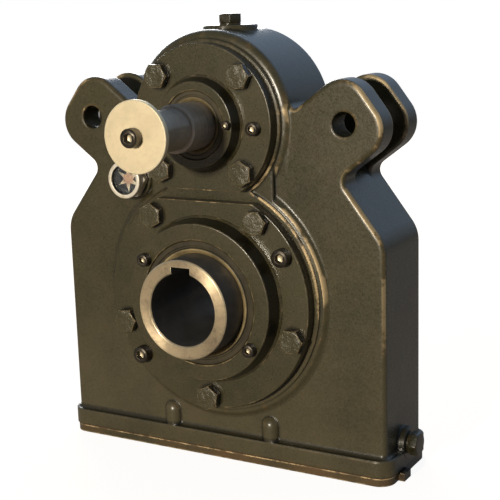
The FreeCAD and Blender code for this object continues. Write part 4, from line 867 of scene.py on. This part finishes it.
# How far each bolt's head is turned, from left to right
OUTPUT_TURNS = (5.0, 30.0, 24.0, 6.0, 3.0)
INPUT_TURNS = (26.0, 0.0, 30.0, 4.0)
# Radius of a stem as a share of the width across flats
BOLT_STEM, PLUG_STEM, SIGHT_STEM = 0.294, 0.41, 0.389
# Arms of the sight glass's star, and its outer and inner radius as shares of the window's
STAR_ARMS, STAR_TIP, STAR_ROOT = 6, 0.94, 0.34
# Reach of the painted contact shadow and dirt round a bolt and of the oil below the side plug, and the share of
# it that is full
BOLT_SHADE_AND_DIRT = (0.0118, 0.78)
PLUG_SEEP, DRIP_SEEP = (0.034, 0.3), (0.030, 0.3)


# Operators


class GearboxOperator:
    bl_options = {"REGISTER", "UNDO"}


class GEARBOX_OT_casting(GearboxOperator, bpy.types.Operator):
    """Enamel on the housing and its inspection cover"""
    bl_idname = "gearbox.casting"
    bl_label = "Finish casting"

    def execute(self, context):
        paint = context.scene.gearbox_enamel
        foot_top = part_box("inspection_gasket")[1][2] + context.scene.gearbox_sizes.foot
        plug_low, plug_high = solid_boxes("side_oil_plug")[0]
        plug = (plug_low + plug_high) / 2
        drip = Vector((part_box("inspection_cover")[1][0], plug.y, FLOOR_Z))
        darkened_spots = ((plug, *PLUG_SEEP), (drip, *DRIP_SEEP))
        casting = enamel("housing enamel", paint, radius=0.0045, amount=0.36, rubbed=RUBBED_AND_HIGHLIGHT_PLACES + RUBBED_PLACES_BEHIND,
                         floorward_tone=0.38, ledge=foot_top, darkened_spots=darkened_spots, rounding=0.9)
        plate = enamel("cover plate enamel", paint, radius=0.002, amount=0.6, rust=0.6, floorward_tone=0.24,
                       darkened_spots=darkened_spots)
        dress(casting, "housing")
        dress(plate, "inspection_cover")
        return {"FINISHED"}


class GEARBOX_OT_covers(GearboxOperator, bpy.types.Operator):
    """Enamel on the bearing covers and seal carriers"""
    bl_idname = "gearbox.covers"
    bl_label = "Finish covers"

    def execute(self, context):
        paint = context.scene.gearbox_enamel
        # The second number darkens each cover's flanks as painted shade.
        for cover, flank_shade in (("output_cover", 0.4), ("input_cover", 0.8)):
            finish = enamel(f"{cover} enamel", paint, radius=0.0014, amount=0.5, bump=0.16, flank_shade=flank_shade,
                            darkened_spots=self.bolt_shade_and_dirt(cover, context.scene.gearbox_sizes.bolt_head))
            dress(finish, *both_ends(cover))
        dress(enamel("seal carrier enamel", paint, radius=0.0011, amount=0.56, bump=0.1, flank_shade=0.4),
              *both_ends("output_seal_carrier"), "input_seal_carrier")
        return {"FINISHED"}

    def bolt_shade_and_dirt(self, cover, head):
        """Where painted contact shadow and dirt lie round the bolts of a cover, as centre, reach and full share.
        """
        places = []
        for node in both_ends(f"{cover}_bolts"):
            for low, high in solid_boxes(node):
                middle = (low + high) / 2
                middle.y = low.y + head if low.y < 0.0 else high.y - head
                places.append((middle, *BOLT_SHADE_AND_DIRT))
        return places


class GEARBOX_OT_bolts(GearboxOperator, bpy.types.Operator):
    """Forged and painted cover bolts"""
    bl_idname = "gearbox.bolts"
    bl_label = "Model cover bolts"

    def execute(self, context):
        paint = context.scene.gearbox_enamel
        sizes = context.scene.gearbox_sizes
        # Many light chips on the heads stand in partly for painted glints; the darker flanks are painted shade.
        finish = enamel("bolt enamel", paint, radius=0.0014, amount=0.74, bump=1.0, relief=0.0009, lift=1.12,
                        chips_and_glints=0.5, flank_shade=0.35)
        low, high = solid_boxes("output_cover_bolts_front")[0]
        flats = high.z - low.z
        stem = high.y - low.y - sizes.bolt_head
        bolt = hexagon_bolt(flats, sizes.bolt_head, flats * BOLT_STEM, stem, sizes.washer_face, sizes.soft_edge)
        for cover, turns in (("output_cover_bolts", OUTPUT_TURNS), ("input_cover_bolts", INPUT_TURNS)):
            for node in both_ends(cover):
                piece = copies_over(bolt, node, sizes.bolt_head, (FRONT, REAR), turns)
                stand_for(piece, node, "casing", finish)
        bpy.data.meshes.remove(bolt.data)
        return {"FINISHED"}


class GEARBOX_OT_screws(GearboxOperator, bpy.types.Operator):
    """Knurled and blackened socket screws"""
    bl_idname = "gearbox.screws"
    bl_label = "Model socket screws"

    def execute(self, context):
        metal = context.scene.gearbox_metals
        # The last colour is the painted highlight on the socket floors.
        finish = dark_metal("blackened screws", metal.black_steel, 0.36, toned(metal.dull_steel, 0.7),
                            toned(metal.plate, 0.6))
        screw = socket_screw(context.scene.gearbox_sizes)
        for node in (f"{end}_{use}_screws" for end in ("output", "input") for use in ("jack", "carrier")):
            stand_for(copies_over(screw, node, 1.0, (FRONT, REAR)), node, "casing", finish)
        piece = copies_over(screw, "retaining_screw", 1.0, (FRONT,))
        stand_for(piece, "retaining_screw", "input_rotor", finish)
        dress(finish, "inspection_cover_screws")
        bpy.data.meshes.remove(screw.data)
        return {"FINISHED"}


class GEARBOX_OT_plugs(GearboxOperator, bpy.types.Operator):
    """Oil plugs on their sealing rings"""
    bl_idname = "gearbox.plugs"
    bl_label = "Model oil plugs"

    def execute(self, context):
        paint = context.scene.gearbox_enamel
        sizes = context.scene.gearbox_sizes
        finish = enamel("plug enamel", paint, radius=0.0012, amount=0.4, bump=0.4, lift=0.5)
        low, high = solid_boxes("top_oil_plug")[0]
        flats = high.y - low.y
        stem = high.z - low.z - sizes.plug_head
        plug = hexagon_bolt(flats, sizes.plug_head, flats * PLUG_STEM, stem, sizes.washer_face, sizes.soft_edge)
        for node, direction, turn in (("top_oil_plug", UP, 0.0), ("side_oil_plug", RIGHT, 30.0)):
            piece = copies_over(plug, node, sizes.plug_head, (direction,), (turn,))
            stand_for(piece, node, "casing", finish)
        bpy.data.meshes.remove(plug.data)
        dress(enamel("plug ring enamel", paint, amount=0.4, lift=0.5), "top_plug_washer", "side_plug_washer",
              "sight_glass_washer")
        return {"FINISHED"}


class GEARBOX_OT_shafts(GearboxOperator, bpy.types.Operator):
    """Turned steel on both shafts and the retaining washer"""
    bl_idname = "gearbox.shafts"
    bl_label = "Finish shafts"

    def execute(self, context):
        metal = context.scene.gearbox_metals
        pitch = metal.turned_pitch
        hollow = turned_steel("hollow shaft steel", metal.bright_steel, metal.dull_steel, 0.0, pitch,
                              rough=0.36, stain=0.8, metal=0.8, side=toned(metal.gear_steel, 0.42))
        drive = turned_steel("drive shaft steel", metal.oiled_steel, toned(metal.oiled_steel, 0.6), INPUT_Z,
                             pitch, rough=0.3, metal=0.5)
        washer = turned_steel("washer plate", metal.plate, toned(metal.plate, 0.75), INPUT_Z, pitch * 0.7,
                              rough=0.5, stain=0.6, metal=0.6, brushed=0.0)
        dress(hollow, "hollow_output_shaft")
        dress(drive, "input_pinion_shaft")
        dress(washer, "retaining_washer")
        dress(polished_metal("key steel", metal.gear_steel, 0.3), "input_shaft_key", "output_gear_key")
        return {"FINISHED"}


class GEARBOX_OT_seals(GearboxOperator, bpy.types.Operator):
    """Shaft seals with their lips, and fibre on the gaskets"""
    bl_idname = "gearbox.seals"
    bl_label = "Model seals"

    def execute(self, context):
        soft = context.scene.gearbox_softs
        sizes = context.scene.gearbox_sizes
        # The last number is how strongly each seal's lip shows its painted highlight.
        seals = (("output_seal_front", FRONT, 0.0, sizes.output_lip, 0.75),
                 ("output_seal_rear", REAR, 0.0, sizes.output_lip, 0.75),
                 ("input_seal", FRONT, INPUT_Z, sizes.input_lip, 0.25))
        for node, direction, axis, inner_r, shine in seals:
            low, high = solid_boxes(node)[0]
            outer_r = (high.x - low.x) / 2
            finish = seal_rubber(f"{node} rubber", soft, axis, inner_r + 0.34 * (outer_r - inner_r), shine)
            back = high.y if direction == FRONT else low.y
            seal = shaft_seal(f"{node}_modelled", inner_r, outer_r, high.y - low.y)
            stand_for(set_up(seal, Vector((0.0, back, axis)), direction), node, "casing", finish)
        dress(soft_sheet("gasket fibre", soft.fibre, toned(soft.fibre, 1.6), 1500.0, 0.8, 0.4),
              "inspection_gasket", *both_ends("output_cover_gasket"), *both_ends("input_cover_gasket"))
        return {"FINISHED"}


class GEARBOX_OT_sight_glass(GearboxOperator, bpy.types.Operator):
    """Plated body, clear lens and copper star of the oil sight glass"""
    bl_idname = "gearbox.sight_glass"
    bl_label = "Model sight glass"

    def execute(self, context):
        metal = context.scene.gearbox_metals
        sizes = context.scene.gearbox_sizes
        low, high = solid_boxes("sight_glass_body")[0]
        seat = solid_boxes("sight_glass_washer")[0][0].y
        base = Vector(((low.x + high.x) / 2, seat, (low.z + high.z) / 2))
        window_r = solid_boxes("sight_glass_lens")[0][1].x - base.x
        body = sight_body(sizes.sight_flats, sizes.sight_hexagon, (high.z - low.z) / 2, window_r + 0.0001,
                          window_r * 0.77, seat - low.y, sizes.sight_flats * SIGHT_STEM, high.y - seat)
        body.name = "sight_glass_body_modelled"
        plate = self.plate("sight glass plate", metal, base, window_r)
        stand_for(set_up(body, base, FRONT), "sight_glass_body", "casing", plate)

        near, far = (seat - box.y for box in solid_boxes("sight_glass_lens")[0])
        dome = [(0.0, near), (window_r * 0.45, near - 0.0001), (window_r * 0.8, near - 0.0005),
                (window_r, near - 0.0012), (window_r, far), (0.0, far)]
        lens = turn_piece("sight_glass_lens_modelled", dome, 64)
        smooth(30)
        glass = clear_glass("sight glass lens", context.scene.gearbox_softs.glass)
        stand_for(set_up(lens, base, FRONT), "sight_glass_lens", "casing", glass)

        near, far = (seat - box.y for box in solid_boxes("sight_glass_star")[0])
        star = star_plate("sight_glass_star_modelled", STAR_ARMS, window_r * STAR_TIP, window_r * STAR_ROOT,
                          near - far)
        foot = base + FRONT * far
        stand_for(set_up(star, foot, FRONT), "sight_glass_star", "casing",
                  self.star_metal("star copper", metal, base, window_r))
        return {"FINISHED"}

    def rings(self, tree, base):
        """Tool marks round the sight glass's own axis."""
        return use_group(tree, "Turned lines", {"Across": base.x, "Axis": base.z, "Pitch": 1500.0})

    def star_metal(self, name, metal, base, window_r):
        """Copper in the middle of the star, and pale plating on its arms."""
        material = polished_metal(name, metal.copper, 0.35)
        tree = material.node_tree
        shader = tree.nodes["Principled BSDF"]
        copper = shader.inputs["Base Color"].links[0].from_socket
        lines = self.rings(tree, base)
        arms = spread(tree, lines["Radius"], window_r * 0.3, window_r * 0.62)
        feed(tree, shader, Base_Color=blended(tree, arms, copper, metal.plate))
        return material

    def plate(self, name, metal, base, window_r):
        """Plated metal outside the window, and painted shade in the bore and on the rim's inner edge."""
        material, tree, shader = start_material(name)
        lines = self.rings(tree, base)
        smear = noise(tree, object_place(tree), 160.0, 4.0, 0.6)
        pale = [(1.0 + v) / 2 for v in metal.plate]
        plate = blended(tree, spread(tree, smear, 0.5, 0.8), pale, toned(metal.plate, 0.7))
        # Painted shade: dark colour in the bore and on the rim's inner edge.
        inside = spread(tree, lines["Radius"], window_r + 0.0009, window_r + 0.0004)
        feed(tree, shader, Base_Color=blended(tree, inside, plate, toned(metal.black_steel, 0.3)))
        feed(tree, shader, Metallic=spread(tree, inside, 0.0, 1.0, 0.4, 0.0))
        feed(tree, shader, Roughness=spread(tree, smear, 0.3, 0.7, 0.3, 0.5))
        bumped(tree, shader, lines["Lines"], 0.1, 0.0001)
        return material


class GEARBOX_OT_inner_pieces(GearboxOperator, bpy.types.Operator):
    """Steel and brass on the gears and bearings inside"""
    bl_idname = "gearbox.inner_pieces"
    bl_label = "Finish gears and bearings"

    def execute(self, context):
        metal = context.scene.gearbox_metals
        wheel = turned_steel("wheel steel", metal.gear_steel, toned(metal.gear_steel, 0.6), 0.0,
                             metal.turned_pitch * 0.5, rough=0.33)
        dress(wheel, "output_gear", "output_gear_spacer")
        rings = polished_metal("bearing steel", metal.ball_steel, 0.12)
        cages = polished_metal("cage brass", metal.brass, 0.3)
        for bearing in both_ends("output_bearing") + both_ends("input_bearing"):
            dress(rings, f"{bearing}_outer_ring", f"{bearing}_inner_ring", f"{bearing}_balls")
            dress(cages, f"{bearing}_cage")
        return {"FINISHED"}


def seen_white(tree, mirrored):
    """How much of the backdrop's white a ray sees: all from the camera or through glass, a share in a mirror."""
    path = put(tree, "LightPath").outputs
    direct = total(tree, path["Is Camera Ray"], path["Is Transmission Ray"])
    seen = total(tree, direct, product(tree, path["Is Glossy Ray"], mirrored), clamp=True)
    return product(tree, seen, maths(tree, "LESS_THAN", path["Diffuse Depth"], 0.5))


FLOOR_SIZE = 120.0
LIFT_FROM, LIFT_TO = 0.4, 1.4  # distances from the part between which the floor grows lighter


def floor_material(stage):
    """A floor that keeps the shadow, lifted to near white where the camera or a mirror sees it."""
    material = bpy.data.materials.new("stage floor")
    material.use_nodes = True
    tree = material.node_tree
    tree.nodes.clear()
    flat = put(tree, "BsdfDiffuse", {"Color": (*stage.floor, 1.0)}).outputs[0]
    away = put(tree, "VectorMath", {0: object_place(tree)}, operation="LENGTH").outputs["Value"]
    lift = spread(tree, away, LIFT_FROM, LIFT_TO, stage.lift, stage.far_lift)
    strength = product(tree, seen_white(tree, stage.mirrored), lift)
    white = put(tree, "Emission", {"Color": (*WHITE, 1.0), "Strength": strength}).outputs[0]
    both = put(tree, "AddShader", {0: flat, 1: white}).outputs[0]
    put(tree, "OutputMaterial", {"Surface": both})
    return material


def set_world(scene, stage):
    """Soft light that is strongest from above, and white where the camera or a mirror sees it."""
    world = bpy.data.worlds.new("stage world")
    scene.world = world
    world.use_nodes = True
    tree = world.node_tree
    tree.nodes.clear()
    way = components(tree, put(tree, "TexCoord").outputs["Generated"])
    soft = blended(tree, spread(tree, way["Z"], 0.0, 0.55), stage.horizon, stage.zenith)
    near_side = maths(tree, "SUBTRACT", way["Y"], way["Z"])
    soft = blended(tree, spread(tree, near_side, 0.1, -0.7, 0.0, 1.0 - stage.shade), soft, BLACK)
    tint = blended(tree, seen_white(tree, stage.mirrored), soft, WHITE)
    put(tree, "OutputWorld", {"Surface": put(tree, "Background", {"Color": tint}).outputs[0]})


def add_lamp(name, place, target, width, power, tint):
    """A square lamp that faces the target."""
    lamp = bpy.data.lights.new(name, "AREA")
    lamp.size = width
    lamp.energy = power
    lamp.color = tint
    holder = bpy.data.objects.new(name, lamp)
    bpy.context.scene.collection.objects.link(holder)
    holder.location = place
    holder.rotation_euler = (Vector(target) - Vector(place)).to_track_quat("-Z", "Y").to_euler()


class GEARBOX_OT_stage(GearboxOperator, bpy.types.Operator):
    """Floor, backdrop, lamps and camera"""
    bl_idname = "gearbox.stage"
    bl_label = "Set stage"

    def execute(self, context):
        scene = context.scene
        stage = scene.gearbox_stage
        scene.view_settings.view_transform = "Standard"
        set_world(scene, stage)
        bpy.ops.object.select_all(action="DESELECT")
        bpy.ops.mesh.primitive_plane_add(size=FLOOR_SIZE, location=(0.0, 0.0, FLOOR_Z))
        floor = context.active_object
        floor.name = "stage_floor"
        floor.data.materials.append(floor_material(stage))
        add_lamp("key lamp", stage.key_place, stage.aim, stage.key_width, stage.key_power, stage.key_tint)
        add_lamp("fill lamp", stage.fill_place, stage.aim, stage.fill_width, stage.fill_power, stage.fill_tint)
        self.add_camera(scene, stage)
        return {"FINISHED"}

    def add_camera(self, scene, stage):
        camera = bpy.data.cameras.new("photo camera")
        camera.sensor_width = stage.sensor
        camera.lens = stage.lens
        holder = bpy.data.objects.new("photo camera", camera)
        scene.collection.objects.link(holder)
        flat = math.cos(stage.elevation)
        back = Vector((math.sin(stage.azimuth) * flat, -math.cos(stage.azimuth) * flat,
                       math.sin(stage.elevation)))
        right = (-back).cross(UP).normalized()
        up = right.cross(-back)
        turn = Matrix.Rotation(stage.roll, 3, back)
        axes = Matrix((turn @ right, turn @ up, back)).transposed()
        holder.matrix_world = Matrix.Translation(Vector(stage.eye)) @ axes.to_4x4()
        scene.camera = holder


OPERATORS = (GEARBOX_OT_casting, GEARBOX_OT_covers, GEARBOX_OT_bolts, GEARBOX_OT_screws,
             GEARBOX_OT_plugs, GEARBOX_OT_shafts, GEARBOX_OT_seals, GEARBOX_OT_sight_glass,
             GEARBOX_OT_inner_pieces, GEARBOX_OT_stage)


class GEARBOX_PT_panel(bpy.types.Panel):
    """Lists the steps that finish the gearbox"""
    bl_label = "Gearbox"
    bl_idname = "GEARBOX_PT_panel"
    bl_space_type = "VIEW_3D"
    bl_region_type = "UI"
    bl_category = "Gearbox"

    def draw(self, context):
        for operator in OPERATORS:
            self.layout.operator(operator.bl_idname)


SETTINGS = {"gearbox_enamel": GearboxEnamel, "gearbox_metals": GearboxMetals, "gearbox_softs": GearboxSofts,
            "gearbox_sizes": GearboxSizes, "gearbox_stage": GearboxStage}
CLASSES = (*SETTINGS.values(), *OPERATORS, GEARBOX_PT_panel)


def register():
    for kind in CLASSES:
        bpy.utils.register_class(kind)
    for name, kind in SETTINGS.items():
        setattr(bpy.types.Scene, name, PointerProperty(type=kind))


def unregister():
    for name in SETTINGS:
        delattr(bpy.types.Scene, name)
    for kind in reversed(CLASSES):
        bpy.utils.unregister_class(kind)


def main():
    register()
    bpy.ops.gearbox.casting()
    bpy.ops.gearbox.covers()
    bpy.ops.gearbox.bolts()
    bpy.ops.gearbox.screws()
    bpy.ops.gearbox.plugs()
    bpy.ops.gearbox.shafts()
    bpy.ops.gearbox.seals()
    bpy.ops.gearbox.sight_glass()
    bpy.ops.gearbox.inner_pieces()
    bpy.ops.gearbox.stage()


if __name__ == "__main__":
    main()
